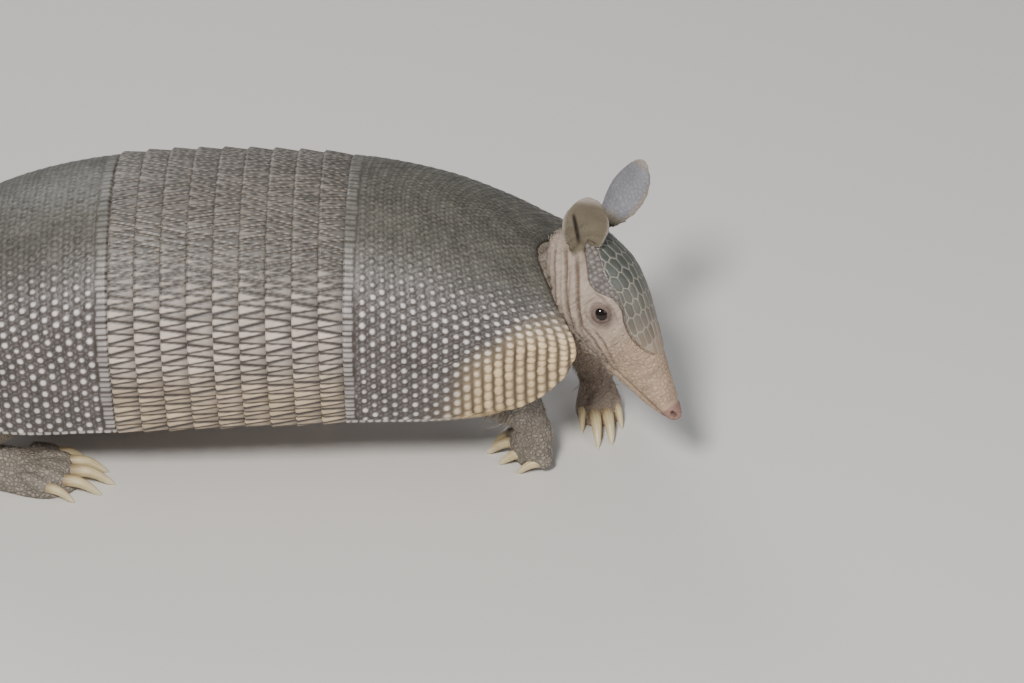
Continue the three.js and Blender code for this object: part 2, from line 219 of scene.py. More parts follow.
def move_vertices(vertices, points):
    for vertex, point in zip(vertices, (points - ORIGIN) * TO_METRES):
        vertex.co = point


def place_vertices(bm, points):
    """Moves a bmesh's vertices to points in the layout and turns its faces outwards."""
    move_vertices(bm.verts, points)
    bmesh.ops.recalc_face_normals(bm, faces=bm.faces)


def scatter(i, j, salt):
    """A fixed number from 0 to 1 for each whole-numbered cell."""
    spread = np.sin(i * 127.1 + j * 311.7 + salt * 74.7) * 43758.5453
    return spread - np.floor(spread)


# Places in one cell of the lattice of scutes: of its pits, and of its large scute and three small.
PIT_PLACES = ((0.25, 0.24), (0.25, -0.24), (-0.25, 0.24), (-0.25, -0.24))
SCUTE_PLACES = ((0, 0), (0, 0.5), (0.5, 0.25), (0.5, -0.25))


def rosettes(row, column, row_mm, column_mm, large, small, jitter=0.10):
    """The scute that holds each point of a staggered lattice: how far the furrow round it is,
    how near its middle the point is, whether it is a large scute, its own fixed number, and how
    far the nearest of the pits beside the large scutes is."""
    nearest = np.full(row.shape, 1e6)
    second = np.full(row.shape, 1e6)
    pit = np.full(row.shape, 1e6)
    is_large = np.zeros(row.shape)
    own = np.zeros(row.shape)
    base_row = np.floor(row + 0.5)
    for step_row in (-1, 0, 1):
        i = base_row + step_row
        shift = 0.5 * (i % 2)
        for step_column in (-1, 0, 1):
            j = np.floor(column - shift + 0.5) + step_column
            for away_row, away_column in PIT_PLACES:
                wander = 0.16 * (scatter(i, j, 5 + 9 * away_row + away_column) - 0.5)
                away = np.hypot((row - i - away_row - wander) * row_mm * 0.7,
                                (column - j - shift - away_column + wander) * column_mm)
                pit = np.minimum(pit, away + np.abs(wander) * 5)
            for kind, (away_row, away_column) in enumerate(SCUTE_PLACES):
                at_row = i + away_row + jitter * (scatter(i, j, kind) - 0.5)
                at_column = j + shift + away_column + jitter * (scatter(i, j, kind + 7) - 0.5)
                across = np.hypot((row - at_row) * row_mm, (column - at_column) * column_mm)
                away = across - (large * (0.88 + 0.24 * scatter(i, j, 9)) if kind == 0 else small)
                closer = away < nearest
                second = np.where(closer, nearest, np.minimum(second, away))
                is_large = np.where(closer, float(kind == 0), is_large)
                own = np.where(closer, scatter(i, j, kind + 3), own)
                nearest = np.where(closer, away, nearest)
    return second - nearest, -nearest, is_large, own, pit


def rounded_edge(distance, radius):
    """How far a surface drops as it rolls over an edge this far away."""
    t = 1 - np.clip(distance / radius, 0, 1)
    return radius * (1 - np.sqrt(1 - t * t))


HORN_DARK = np.array((0.098, 0.087, 0.085))
HORN_GREEN = np.array((0.085, 0.084, 0.067))
HORN_MIDDLE = np.array((0.240, 0.219, 0.214))
HORN_PALE = np.array((0.860, 0.805, 0.760))
HORN_CREAM = np.array((0.860, 0.635, 0.360))
FURROW_BROWN = np.array((0.045, 0.032, 0.024))
UNDER_TONE = np.array((0.17, 0.12, 0.09))


def blend_tones(tone, other, share):
    return tone + (other - tone) * np.asarray(share)[..., None]


def store_on_points(piece, name, kind, field, values):
    """Stores a value on each of a piece's points, which its material reads."""
    layer = piece.data.attributes.new(name, kind, "POINT")
    layer.data.foreach_set(field, values.astype(np.float32).ravel())


def tint_points(piece, tones):
    full = np.ones((len(piece.data.vertices), 4), np.float32)
    full[:, :3] = np.clip(tones, 0, 1)
    store_on_points(piece, "tint", "FLOAT_COLOR", "color", full)


def add_node(tree, kind, inputs=None, **settings):
    """A new node. Each input is a value or another node's output."""
    made = tree.nodes.new(kind)
    for name, value in settings.items():
        setattr(made, name, value)
    for name, value in (inputs or {}).items():
        if isinstance(value, bpy.types.NodeSocket):
            tree.links.new(value, made.inputs[name])
        else:
            made.inputs[name].default_value = value
    return made


def tinted_material(name, roughness, mottle, mottle_size, grain, grain_size, specular=0.5):
    """A material in the points' own colours, mottled, with a fine bumpy grain."""
    material = plain_material(name, (1, 1, 1, 1), roughness)
    tree = material.node_tree
    shader = tree.nodes["Principled BSDF"]
    shader.inputs["Specular IOR Level"].default_value = specular
    place = add_node(tree, "ShaderNodeTexCoord").outputs["Object"]
    tint = add_node(tree, "ShaderNodeAttribute", attribute_name="tint").outputs["Color"]
    patches = add_node(tree, "ShaderNodeTexNoise",
                       {"Vector": place, "Scale": 1 / mottle_size, "Detail": 5.0}).outputs["Fac"]
    shade = add_node(tree, "ShaderNodeMapRange", {"Value": patches, "From Min": 0.3, "From Max": 0.7,
                     "To Min": 1 - mottle, "To Max": 1 + mottle}).outputs["Result"]
    colour = add_node(tree, "ShaderNodeVectorMath", {0: tint, 1: shade}, operation="MULTIPLY")
    tree.links.new(colour.outputs["Vector"], shader.inputs["Base Color"])
    pores = add_node(tree, "ShaderNodeTexNoise",
                     {"Vector": place, "Scale": 1 / grain_size, "Detail": 3.0}).outputs["Fac"]
    gloss = add_node(tree, "ShaderNodeMapRange",
                     {"Value": pores, "To Min": roughness - 0.14, "To Max": roughness + 0.14})
    tree.links.new(gloss.outputs["Result"], shader.inputs["Roughness"])
    bump = add_node(tree, "ShaderNodeBump", {"Height": pores, "Strength": grain, "Distance": 0.0004})
    tree.links.new(bump.outputs["Normal"], shader.inputs["Normal"])
    return material


horn = tinted_material("horn", 0.46, 0.16, 0.012, 0.5, 0.0011)


def add_shell_piece(name, node, rows, columns, coarse, shape):
    piece = plate_piece(name, rows, columns, coarse, shape, horn)
    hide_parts(node)
    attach(piece, "root")


def around_shell(v):
    """For a place across a plate: the angle from the top, signed, and the distance round."""
    side = 2 * v - 1
    round_top = np.abs(side) * ARC[-1]
    return np.sign(side) * np.interp(round_top, ARC, ARC_ANGLES), side * ARC[-1]


LOW_ROWS = 84  # degrees from the top, and below here the rows of scutes go straight to the rim
STRIP = 6.5  # beside the bands, a shield starts with one row of narrow scutes like theirs
NARROW_SCUTE = 3.0  # width of these and of the bands' scutes
RIM_ROW = 2.6  # the rim's last row is one of small beads
BEAD_PITCH = 4.2
cream_start = curve_through((285, 105), (297, 92), (313, 77), (327, 60), (345, 50))


def narrow_scutes(arc, from_band):
    """The row beside the bands: how far the furrows are, and each scute's own fixed number."""
    column = arc / NARROW_SCUTE + 0.12 * np.sin(arc * 1.3)
    own = scatter(np.floor(column), 3, 7)
    furrow = NARROW_SCUTE / 2 - NARROW_SCUTE * np.abs(np.mod(column, 1) - 0.5)
    return np.minimum(furrow, np.maximum(STRIP - 0.9 * own - from_band, 0)), own


def shield_tone(flank, creamy, plateau, is_large, own, pale, dark):
    """Grey-green on the back, brown with pale scutes on the flank and cream on the shoulder. The pale
    is partly the horn's own and partly a painted highlight, stronger on the flank.
    """
    tone = blend_tones(HORN_DARK, HORN_GREEN, 1 - flank)
    # The small scutes are greyer on the flank: partly their own tone, partly painted light, stronger on
    # the flank.
    tone = blend_tones(tone, HORN_MIDDLE, plateau * (1 - is_large) * lerp(0.22, 0.62, flank))
    tone = tone * (0.80 + 0.40 * own)[:, None]
    tone = blend_tones(tone, blend_tones(HORN_PALE, HORN_CREAM, creamy), pale * (0.86 + 0.14 * own))
    tone = blend_tones(tone, HORN_CREAM * 0.46, creamy * (1 - pale))
    return blend_tones(tone, FURROW_BROWN, dark * lerp(0.90, 0.95, creamy))


def shield_shape(rear, front, scute_rows, column_mm, tuck, cream):
    """A shield's surface. Its large round scutes stand in staggered rows among small ones, and
    low on the shoulder they are cream ovals in columns. tuck is how far its front edge runs on."""

    def shape(u, v, outer):
        degrees, arc = around_shell(v)
        steep = np.abs(degrees)
        start, end = rear(steep), front(steep) + tuck
        length = end - start
        station = lerp(start, end, u)
        upright = np.minimum(steep, LOW_ROWS)
        span = front(upright) + tuck - rear(upright)
        row = scute_rows * np.where(tuck > 0, 1 - (end - station) / span, (station - start) / span)
        from_rear, from_front, from_rim = u * length, (1 - u) * length, ARC[-1] - np.abs(arc)
        flank = smooth_step(26, 62, steep)
        from_cream = steep - cream_start(station)
        creamy = cream * smooth_step(-14, 20, from_cream) * smooth_step(268, 304, station)
        low = np.maximum(0, np.abs(arc) - ARC_LOW)
        column = np.sign(arc) * ((np.abs(arc) - low) / column_mm + low / (column_mm * 1.12))
        furrow, inside, is_large, own, pit = rosettes(
            row, column, span / scute_rows * (1 + 0.12 * creamy),
            column_mm * (1 - 0.28 * creamy), lerp(lerp(1.0, 1.75, flank), 2.6, creamy),
            lerp(0.10, -1.1, creamy))
        from_band = from_front - tuck if tuck else from_rear
        strip = smooth_step(STRIP + 0.1, STRIP - 0.1, from_band)
        strip_furrow, own_narrow = narrow_scutes(arc, from_band)
        furrow = np.minimum(furrow, np.maximum(from_band - STRIP, 0) * 1.3)
        furrow = np.where(strip > 0.5, strip_furrow, furrow)
        is_large = is_large * (1 - strip)
        bead_furrow = np.abs(np.mod(station / BEAD_PITCH, 1) - 0.5) * -BEAD_PITCH + BEAD_PITCH / 2
        beaded = (from_rim < RIM_ROW) & (steep > 90)
        furrow = np.where(beaded, np.minimum(bead_furrow, RIM_ROW - from_rim), furrow)
        is_large = np.where(beaded, 1.0, is_large)
        inside = np.where(beaded, np.minimum(bead_furrow, 1.2), inside)
        plateau = smooth_step(0.0, 0.9, furrow)
        dome = is_large * np.sqrt(np.clip(inside / 2.2, 0, 1))
        pitted = smooth_step(0.75, 0.25, pit) * (1 - flank)
        relief = plateau * lerp(0.30, 0.12, creamy) + dome * lerp(lerp(0.16, 0.46, flank), 0.80, creamy)
        relief = relief - 0.30 * pitted
        lift = relief - 0.5 - rounded_edge(from_rim, 1.8) - rounded_edge(from_rear, 1.3)
        if tuck:
            lift = lift - (TUCK_DEPTH - 0.3) * smooth_step(tuck + 1.0, tuck, from_front)
        else:
            lift = lift - rounded_edge(from_front, 1.8)
        under = np.where((from_rear < 2.2) & (not tuck), -LIP, -SHELL)
        # The large scutes are paler towards their middles and the narrow ones along their length:
        # partly the horn's own pale, partly a painted highlight, stronger on the flank.
        pale = is_large * smooth_step(0.20, 1.00, inside) * lerp(0.16, 1.0, flank)
        pale = np.where(beaded, pale * 0.62, pale)
        pale_narrow = smooth_step(0.35, 1.15, strip_furrow) * lerp(0.70, 1.15, own_narrow)
        pale = np.maximum(pale, strip * pale_narrow * lerp(0.08, 0.40, flank))
        groove = smooth_step(0.27, 0.42, np.abs(row - np.round(row)))
        dark = np.maximum((1 - smooth_step(0.05, 0.55, furrow)) * (1 - 0.7 * creamy),
                          creamy * groove * (1 - pale) * 1.05)
        dark = np.maximum(dark * lerp(0.55, 0.85, flank), pitted * (1 - strip))
        tone = shield_tone(flank, creamy, plateau, is_large, own, pale, dark)
        return carapace_point(station, degrees, np.where(outer, lift, under)), tone

    return shape


def level(station):
    """An edge that runs straight round the shell at a station."""
    return lambda degrees: np.full(degrees.shape, float(station))


def band_shape(number):
    """A band's surface. Narrow scutes lie side by side across it, each widest at one end, and
    low on the flank they are boxy. Its rear edge stands proud and its front runs in under."""
    shown = BAND_PITCH - GAP
    rear = SCAPULAR_REAR - number * BAND_PITCH + GAP / 2

    def shape(u, v, outer):
        degrees, arc = around_shell(v)
        steep = np.abs(degrees)
        from_rear = u * (shown + TUCK)
        t = from_rear / shown
        flank = smooth_step(34, 74, steep)
        low = smooth_step(84, 100, steep)
        taper = lerp(0.62, 0.34, low) * (np.clip(t, 0, 1) - 0.5)
        column = arc / NARROW_SCUTE + 0.25 * np.sin(number * 2.4) + 0.12 * np.sin(arc * 0.9 + number)

        def slanted_side(k):
            return k + taper * np.where(k % 2 == 0, 1, -1)

        k = np.floor(column)
        k = np.where(column - slanted_side(k) < 0, k - 1, k)
        k = np.where(slanted_side(k + 1) - column < 0, k + 1, k)
        furrow = np.minimum(column - slanted_side(k), slanted_side(k + 1) - column) * NARROW_SCUTE
        own = scatter(k, number, 1)
        broad_behind = (k % 2 == 0).astype(float)
        plateau = smooth_step(0.0, 0.75, furrow)
        crown = np.sqrt(np.clip(furrow / 1.5, 0, 1))
        lift = lerp(0.9, -0.6, np.clip(t, 0, 1)) + plateau * 0.34 + crown * 0.26 - 0.5
        lift = lift - (TUCK_DEPTH - 1.0) * smooth_step(1.0, 1.06, t)
        lift = lift - rounded_edge(from_rear, 0.9) - rounded_edge(ARC[-1] - np.abs(arc), 1.8)
        under = np.where(from_rear < 2.2, -LIP + 0.6, -SHELL)
        station = rear + from_rear - 0.45 * crown * (1 - smooth_step(0.0, 2.0, from_rear)) * outer
        fine = lerp(1.15, 0.45, flank)
        # The pale streaks are partly the scutes' own pale edges and partly painted light, much stronger
        # low on the flank.
        streak = smooth_step(fine, fine + 0.6, furrow) * lerp(0.16, 0.74, flank)
        streak = streak * lerp(0.62, 1.0, broad_behind)
        streak = streak * (1 - 0.5 * smooth_step(0.55, 1.0, t)) * (0.8 + 0.4 * own)
        edge = smooth_step(0.25, 0.50, furrow) * (1 - smooth_step(0.50, 0.80, furrow)) * (1 - flank)
        tone = blend_tones(HORN_DARK, HORN_GREEN, 0.4 * (1 - flank))
        tone = tone * (0.72 + 0.56 * own)[:, None]
        pale_tone = blend_tones(HORN_PALE, HORN_CREAM, 0.35 + 0.45 * low)
        tone = blend_tones(tone, pale_tone, np.clip(streak + 0.26 * edge, 0, 1))
        tone = blend_tones(tone, FURROW_BROWN, (1 - smooth_step(0.03, 0.55, furrow)) * 0.9)
        return carapace_point(station, degrees, np.where(outer, lift, under)), tone

    return shape


add_shell_piece("scapular_scutes", "scapular_shield", 150, 390, (5, 4),
                shield_shape(level(SCAPULAR_REAR + GAP / 2), scapular_front, 22, 6.0, 0, 1.0))
for number in range(1, BAND_COUNT + 1):
    add_shell_piece(f"band_scutes_{number}", f"band_{number}", 19, 460, (1, 4), band_shape(number))
add_shell_piece("pelvic_scutes", "pelvic_shield", 165, 390, (5, 4),
                shield_shape(pelvic_rear, level(PELVIC_FRONT - GAP / 2), 22, 6.0, TUCK, 0.0))

# ---- Tail ---------------------------------------------------------------------------------
# The tail is cased in bony rings that overlap backwards, each with rows of small keeled scutes.
# Towards the tip the rings give way to plain scutes, and it lies on the floor over its end.

TAIL_PATH = ((-304, 0, 54), (-350, 3, 41), (-402, 13, 26), (-452, 34, 14),
             (-492, 64, 8.6), (-524, 100, 5.2), (-546, 140, 2.8))
TAIL_LENGTH = 300
RING_ROWS = 3  # of scutes in each ring
TIP_ROW = 3.4  # from one row to the next past the last ring
TAIL_SCUTE = 4.4  # width of a scute round the tail
tail_radius = curve_through((0, 22.5), (0.15, 20.5), (0.4, 15.5), (0.7, 9), (1, 3))


def path_through(points):
    """A smooth path through points: gives the place at each share of its knots, 0 to 1."""
    knots = np.array(points, float)
    knots = np.vstack((2 * knots[0] - knots[1], knots, 2 * knots[-1] - knots[-2]))
    gaps = np.sqrt(np.linalg.norm(np.diff(knots, axis=0), axis=1))

    def place(share):
        share = np.clip(share, 0, 1) * (len(points) - 1)
        k = np.minimum(share.astype(int), len(points) - 2)
        t = (share - k)[..., None]
        before, start, end, after = (knots[k + step] for step in range(4))
        gap_before, gap, gap_after = (gaps[k + step][..., None] for step in range(3))
        leave = gap * ((start - before) / gap_before - (end - before) / (gap_before + gap)
                       + (end - start) / gap)
        arrive = gap * ((end - start) / gap - (after - start) / (gap + gap_after)
                        + (after - end) / gap_after)
        ease = t * t * (3 - 2 * t)
        return start * (1 - ease) + end * ease + t * (1 - t) ** 2 * leave + t * t * (t - 1) * arrive

    return place


def square_to_path(path, share):
    """The path's place at each share, and the directions to its side and up."""
    step = 1e-3
    forward = path(np.minimum(share + step, 1)) - path(np.maximum(share - step, 0))
    forward /= np.linalg.norm(forward, axis=1)[:, None]
    side = np.array((0, 1, 0)) - forward * forward[:, 1:2]
    side /= np.linalg.norm(side, axis=1)[:, None]
    return path(share), side, np.cross(forward, side)


def ball_grid(sides, steps):
    """A ball of even rings, and for each point its share along (0 to 1) and angle round."""
    bm = bmesh.new()
    bmesh.ops.create_uvsphere(bm, u_segments=sides, v_segments=steps, radius=1)
    unit = np.array([vertex.co for vertex in bm.verts])
    along = 1 - np.arccos(np.clip(unit[:, 2], -1, 1)) / math.pi
    return bm, along, np.arctan2(unit[:, 1], unit[:, 0])


def tail_scutes(along, angle):
    """How far the tail's scutes rise at each point, and their tones."""
    ringed = 1 - smooth_step(0.60, 0.70, along)
    ring_mm = lerp(15, 9, np.clip(along / 0.65, 0, 1))
    ring = along * TAIL_LENGTH / ring_mm
    in_ring = ring - np.floor(ring)  # 0 at a ring's front, 1 at its free rear edge
    row = np.where(ringed > 0.5, ring * RING_ROWS, along * TAIL_LENGTH / TIP_ROW)
    ring_radius = tail_radius(np.floor(ring) * ring_mm / TAIL_LENGTH)
    count = np.maximum(8, np.round(2 * math.pi * ring_radius / TAIL_SCUTE))
    column = angle / (2 * math.pi) * count
    radius = tail_radius(along)
    shift = 0.5 * (np.floor(row) % 2)
    cell = np.floor(column + shift)
    across = (0.5 - np.abs(column + shift - cell - 0.5)) * 2 * math.pi * radius / count
    down = np.minimum(row - np.floor(row), np.ceil(row) - row)
    down = down * np.where(ringed > 0.5, ring_mm / RING_ROWS, TIP_ROW)
    furrow = np.minimum(across, down)
    own = scatter(np.mod(cell, count), np.floor(row), 5)
    keel = smooth_step(0.5, 1.7, across) * (row - np.floor(row))
    lift = 0.30 * smooth_step(0.0, 0.7, furrow) + 0.35 * keel - 0.4
    lift = lift + ringed * (1.5 * in_ring - 0.3 - 1.7 * smooth_step(0.92, 1.0, in_ring))
    pale = 0.42 * keel + 0.2 * smooth_step(0.7, 0.95, in_ring) * ringed
    tone = blend_tones(HORN_DARK * 1.1, HORN_PALE, pale)
    tone = tone * (0.78 + 0.44 * own)[:, None]
    return lift, blend_tones(tone, FURROW_BROWN, (1 - smooth_step(0.0, 0.55, furrow)) * 0.8)


def rounded_end(from_end, part):
    """How full a round body is near its end, where the last part of it is a dome."""
    return np.sqrt(np.clip(1 - (np.clip(part - from_end, 0, 1) / part) ** 2, 0, 1))


bm, along, angle = ball_grid(150, 330)
lift, tones = tail_scutes(along, angle)
place, side, up = square_to_path(path_through(TAIL_PATH), along)
blunt = rounded_end(np.minimum(along, 1 - along), 0.012)
reach = ((tail_radius(along) + lift) * blunt)[:, None]
points = place + side * np.cos(angle)[:, None] * reach + up * np.sin(angle)[:, None] * reach
points[:, 2] = np.maximum(points[:, 2], 0)
place_vertices(bm, points)
tail = linked_object("tail_rings", bm, horn)
tint_points(tail, tones)
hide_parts(*(f"tail_{number}" for number in range(1, 6)))
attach(tail, "root")

# ---- Head shield --------------------------------------------------------------------------
# A bony shield over the crown and the bridge of the snout, paved with many-sided plates that
# are long on the brow, with a border of small beads. It is set into the skin of the head.

HEAD_LENGTH = 107
HEAD_PLACE = np.array((20.5, -9.5, 123))
HEAD_TURN = np.array(Euler([math.radians(turn) for turn in (-26.3, 40, -42.8)], "XYZ").to_matrix())
SHIELD_REAR = 9
SHIELD_FRONT = 79
head_half_width = curve_through((0, 14), (10, 19.5), (20, 22.2), (30, 24.5), (45, 21.5), (60, 16.5),
                                (75, 12.5), (90, 10), (107, 8))
head_top = curve_through((0, 16), (12, 21.5), (30, 25), (45, 23.2), (60, 18.4), (75, 13),
                         (90, 8.4), (107, 5))
head_bottom = curve_through((0, 7), (10, 13), (22, 17.5), (34, 22.5), (45, 21), (60, 17.5),
                            (75, 14), (90, 11.5), (107, 8))

# Degrees round to the shield's edge, width of its border of beads, and how slim its plates are.
shield_spread = curve_through((9, 34), (15, 43), (22, 54), (28, 61), (34, 60), (41, 50), (48, 48),
                              (54, 54), (62, 56), (70, 47), (79, 20))
bead_belt = curve_through((9, 4.5), (20, 7.5), (28, 8.6), (34, 7.2), (40, 4.0), (46, 1.5), (79, 1.2))
plate_slim = curve_through((9, 1.05), (30, 1.0), (55, 0.82), (79, 0.6))

PLATE_LONG = 7.2
PLATE_WIDE = 4.7
PLATE_AS_LONG = 4.4  # counted as this long where plates meet, which draws them out lengthwise
BEAD_LONG = 2.6
BEAD_WIDE = 3.0
PLATE_GREEN = np.array((0.080, 0.087, 0.075))
PLATE_BROWN = np.array((0.160, 0.142, 0.117))
PLATE_EDGE = np.array((0.35, 0.315, 0.260))
BEAD_TONE = np.array((0.185, 0.172, 0.162))
MUZZLE_TONE = np.array((0.475, 0.342, 0.240))
CREASE_TONE = np.array((0.11, 0.072, 0.055))


def from_head(points):
    """Points given in the head's own frame, moved to the layout."""
    return HEAD_PLACE + points @ HEAD_TURN.T


def to_head(points):
    """Points of the layout, given in the head's own frame."""
    return (points - HEAD_PLACE) @ HEAD_TURN


def head_section(x, left, up, grow):
    """Points round the head's section at x, on its surface or grown out from it."""
    height = np.where(up > 0, head_top(x) + grow, head_bottom(x) + grow)
    return np.stack((x, left * (head_half_width(x) + grow), up * height), axis=-1)


def head_plates(u, v, outer):
    """The head shield's surface, paved with plates inside a border of beads."""
    x = lerp(SHIELD_REAR, SHIELD_FRONT, u)
    side = 2 * v - 1
    degrees = side * shield_spread(x)
    girth = (head_half_width(x) + head_top(x)) / 2
    arc = np.radians(degrees) * girth
    from_side = np.radians(shield_spread(x)) * girth - np.abs(arc)
    belt = bead_belt(x)
    wide = PLATE_WIDE * plate_slim(x)
    from_belt = np.abs(from_side - belt) * 1.6
    furrow, _, _, own, _ = rosettes(x / PLATE_LONG, arc / wide, PLATE_AS_LONG, wide, 0, -9, 0.26)
    bead_furrow, _, _, bead_own, _ = rosettes(x / BEAD_LONG, arc / BEAD_WIDE, BEAD_LONG, BEAD_WIDE,
                                              0, -9, 0.30)
    beaded = (from_side < belt).astype(float)
    furrow = np.minimum(np.where(beaded > 0, bead_furrow, furrow), from_belt)
    own = np.where(beaded > 0, bead_own, own)
    plateau = smooth_step(0.15, 1.1, furrow)
    crown = np.sqrt(np.clip(furrow / lerp(3.4, 2.0, beaded), 0, 1))
    fade = smooth_step(SHIELD_FRONT, SHIELD_FRONT - 16, x)
    lift = lerp(0.35, 1.0, fade) * (0.26 * plateau + lerp(0.26, 0.80, beaded) * crown)
    lift = lift + lerp(0.2, -0.1, beaded)
    lift = lift - 0.6 * rounded_edge(np.minimum(from_side, x - SHIELD_REAR), 1.6)
    lift = lift - 1.5 * smooth_step(SHIELD_FRONT - 7, SHIELD_FRONT, x)
    tone = blend_tones(PLATE_GREEN, PLATE_BROWN, smooth_step(30, 62, x))
    tone = blend_tones(tone, MUZZLE_TONE * 0.72, np.maximum(1 - fade, 0.6 * smooth_step(52, 74, x)))
    tone = blend_tones(tone, BEAD_TONE, beaded * smooth_step(58, 40, x))
    tone = tone * (0.78 + 0.44 * own)[:, None]
    outline = (1 - smooth_step(0.20, 0.58, furrow)) * lerp(0.35, 0.85, fade)
    tone = blend_tones(tone, PLATE_EDGE, outline * (1 - beaded))
    tone = blend_tones(tone, CREASE_TONE, 0.8 * (1 - smooth_step(0.15, 0.8, furrow)) * beaded)
    angle = np.radians(degrees)
    return from_head(head_section(x, np.sin(angle), np.cos(angle), np.where(outer, lift, -1.6))), tone


plated = tinted_material("head_plates", 0.36, 0.14, 0.009, 0.35, 0.0009, 0.45)
head_shield = plate_piece("head_plates", 200, 130, (4, 4), head_plates, plated)
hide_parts("head_shield")
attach(head_shield, "root")

# ---- Skin ---------------------------------------------------------------------------------
# One bare, wrinkled hide covers all the flesh: trunk, neck, head, ears, legs and toes. It is
# modelled as rounded bodies melted together, then folded at the cheeks, lids, mouth and throat.

VOXEL = 0.00125
NECK_TONE = np.array((0.300, 0.268, 0.236))
CHEEK_TONE = np.array((0.405, 0.323, 0.260))
THROAT_TONE = np.array((0.270, 0.232, 0.190))
LID_SKIN_AND_SHADE_TONE = np.array((0.125, 0.088, 0.078))
NOSE_TONE = np.array((0.30, 0.180, 0.150))
EAR_TONE = np.array((0.148, 0.123, 0.086))
EAR_BACK_TONE = np.array((0.215, 0.214, 0.236))
EAR_RIM_HIGHLIGHT_TONE = np.array((0.36, 0.315, 0.280))
SLIT_SHADE_TONE = np.array((0.030, 0.022, 0.018))
BELLY_TONE = np.array((0.33, 0.26, 0.215))
RUMP_TONE = np.array((0.155, 0.130, 0.112))
LEG_TONE = np.array((0.285, 0.250, 0.208))
# The left foreleg is pinker, and it is also painted lighter, as painted light on a leg that lies in the
# shade of head and shield.
PINK_LIT_LEG_TONE = np.array((0.47, 0.345, 0.262))

flesh = bmesh.new()
flesh_points = []
flesh_marks = []  # tone and scaliness of each point


def add_flesh(sides, steps, power, place, tone, scaly):
    """Adds a rounded body: place(along, left, up) gives its surface."""
    made = bmesh.ops.create_uvsphere(flesh, u_segments=sides, v_segments=steps, radius=1)["verts"]
    unit = np.array([vertex.co for vertex in made])
    around = np.hypot(unit[:, 0], unit[:, 1])
    around[around < 1e-6] = 1
    full = np.clip(1 - np.abs(unit[:, 2]) ** power, 0, 1) ** (1 / power) / around
    points = place((unit[:, 2] + 1) / 2, unit[:, 0] * full, unit[:, 1] * full)
    points[:, 2] = np.maximum(points[:, 2], 0)
    move_vertices(made, points)
    flesh_points.append(points)
    flesh_marks.append(np.tile((*tone, scaly), (len(points), 1)))


def trunk_surface(u, left, up):
    station = lerp(-9, 326, u)
    middle = widest_height(station)
    rise = back_height(station) - middle - SHELL - GAP
    height = middle + np.where(up > 0, rise, middle - belly_height(station)) * up
    return body_point(station, (half_width(station) - SHELL - GAP) * left, height)


def head_surface(u, left, up):
    return from_head(head_section(HEAD_LENGTH * u, left, up, 0))


def limb_surface(points, across, deep):
    """A limb round a path, this far across and this deep at each share of its length."""
    path = path_through(points)

    def surface(u, left, up):
        place, side, above = square_to_path(path, u)
        return place + side * (left * across(u))[:, None] + above * (up * deep(u))[:, None]

    return surface


def rounded_body(middle, reach):
    return lambda u, left, up: np.array(middle) + np.stack((left, up, 2 * u - 1), axis=-1) * reach


add_flesh(64, 96, 5, trunk_surface, BELLY_TONE, 0.0)
add_flesh(64, 96, 3.2, head_surface, CHEEK_TONE, 0.0)
NECK_PATH = ((-30, -6, 74), (-6, -9, 77), (12, -14, 88), (30, -23, 103))
neck_across = curve_through((0, 42), (0.45, 36), (0.8, 27), (1, 21))
neck_deep = curve_through((0, 30), (0.45, 27), (0.8, 22), (1, 18))
add_flesh(48, 48, 6, limb_surface(NECK_PATH, neck_across, neck_deep), NECK_TONE, 0.0)

# The nape bulges up under the front edge of the shell.
add_flesh(40, 40, 2.2, rounded_body((7, -6, 98.5), (17, 30, 17)), NECK_TONE, 0.0)

# Under the shell's rear edge the rump fills out to the width of the tail's first ring.
RUMP_PATH = ((-246, 0, 70), (-284, 0, 62), (-311, 0, 53.5))
rump_reach = curve_through((0, 15), (0.5, 19), (1, 21.2))
add_flesh(48, 48, 8, limb_surface(RUMP_PATH, rump_reach, rump_reach), RUMP_TONE, 0.8)

# An ear is a cupped, flattened leaf that opens forwards and outwards. Each one's root, lean and
# length are in the head's own frame.
EARS = (((11, 14, 15), (-15, 17, 30), 40), ((16, -12, 11), (-20, -9, 26), 35))
EAR_CUP = 6
ear_half_width = curve_through((0, 5), (0.14, 7.5), (0.34, 10.6), (0.62, 12.2), (1, 9.5))


def ear_axes(root, lean):
    """The directions up an ear, out of its hollow side, and across it, in the head's frame."""
    long = np.array(lean, float) / np.linalg.norm(lean)
    out = np.array((0.4, 0.9 * np.sign(root[1]), 0.1))
    out -= long * out.dot(long)
    out /= np.linalg.norm(out)
    return long, out, np.cross(long, out)


def ear_surface(root, lean, length):
    long, out, wide = ear_axes(root, lean)

    def surface(u, across, through):
        hollow = EAR_CUP * (1 - 0.5 * u) * (across * across - 0.5)
        spread = np.maximum(np.hypot(across, through), 1e-6)
        blunt = np.sign(through) * np.sqrt(np.abs(through) / spread) * np.clip(spread / 0.3, 0, 1)
        rolled = 1 + 0.35 * smooth_step(0.75, 0.95, np.abs(across) / spread)
        raised = hollow + blunt * rolled * lerp(2.2, 1.15, u)
        return from_head(np.array(root) + np.outer(u * length, long)
                         + np.outer(across * ear_half_width(u), wide) + np.outer(raised, out))

    return surface


for root, lean, length in EARS:
    add_flesh(48, 48, 2.6, ear_surface(root, lean, length), EAR_TONE, 0.0)


def claws_fan(height, toes):
    """Claws side by side, each with its root, tip and width."""
    return [((start, y, height), (end, y * 1.2, -0.2), width) for y, start, end, width in toes]


def planted_foot(length, height, half, lift):
    """A foot flat on the floor: its length, and its height, half width and lift along it."""

    def surface(u, left, up):
        tall = np.where(up > 0, height(u), lift(u) + 2)
        return np.stack((length * u, left * half(u), lift(u) + up * tall), axis=-1)

    return surface


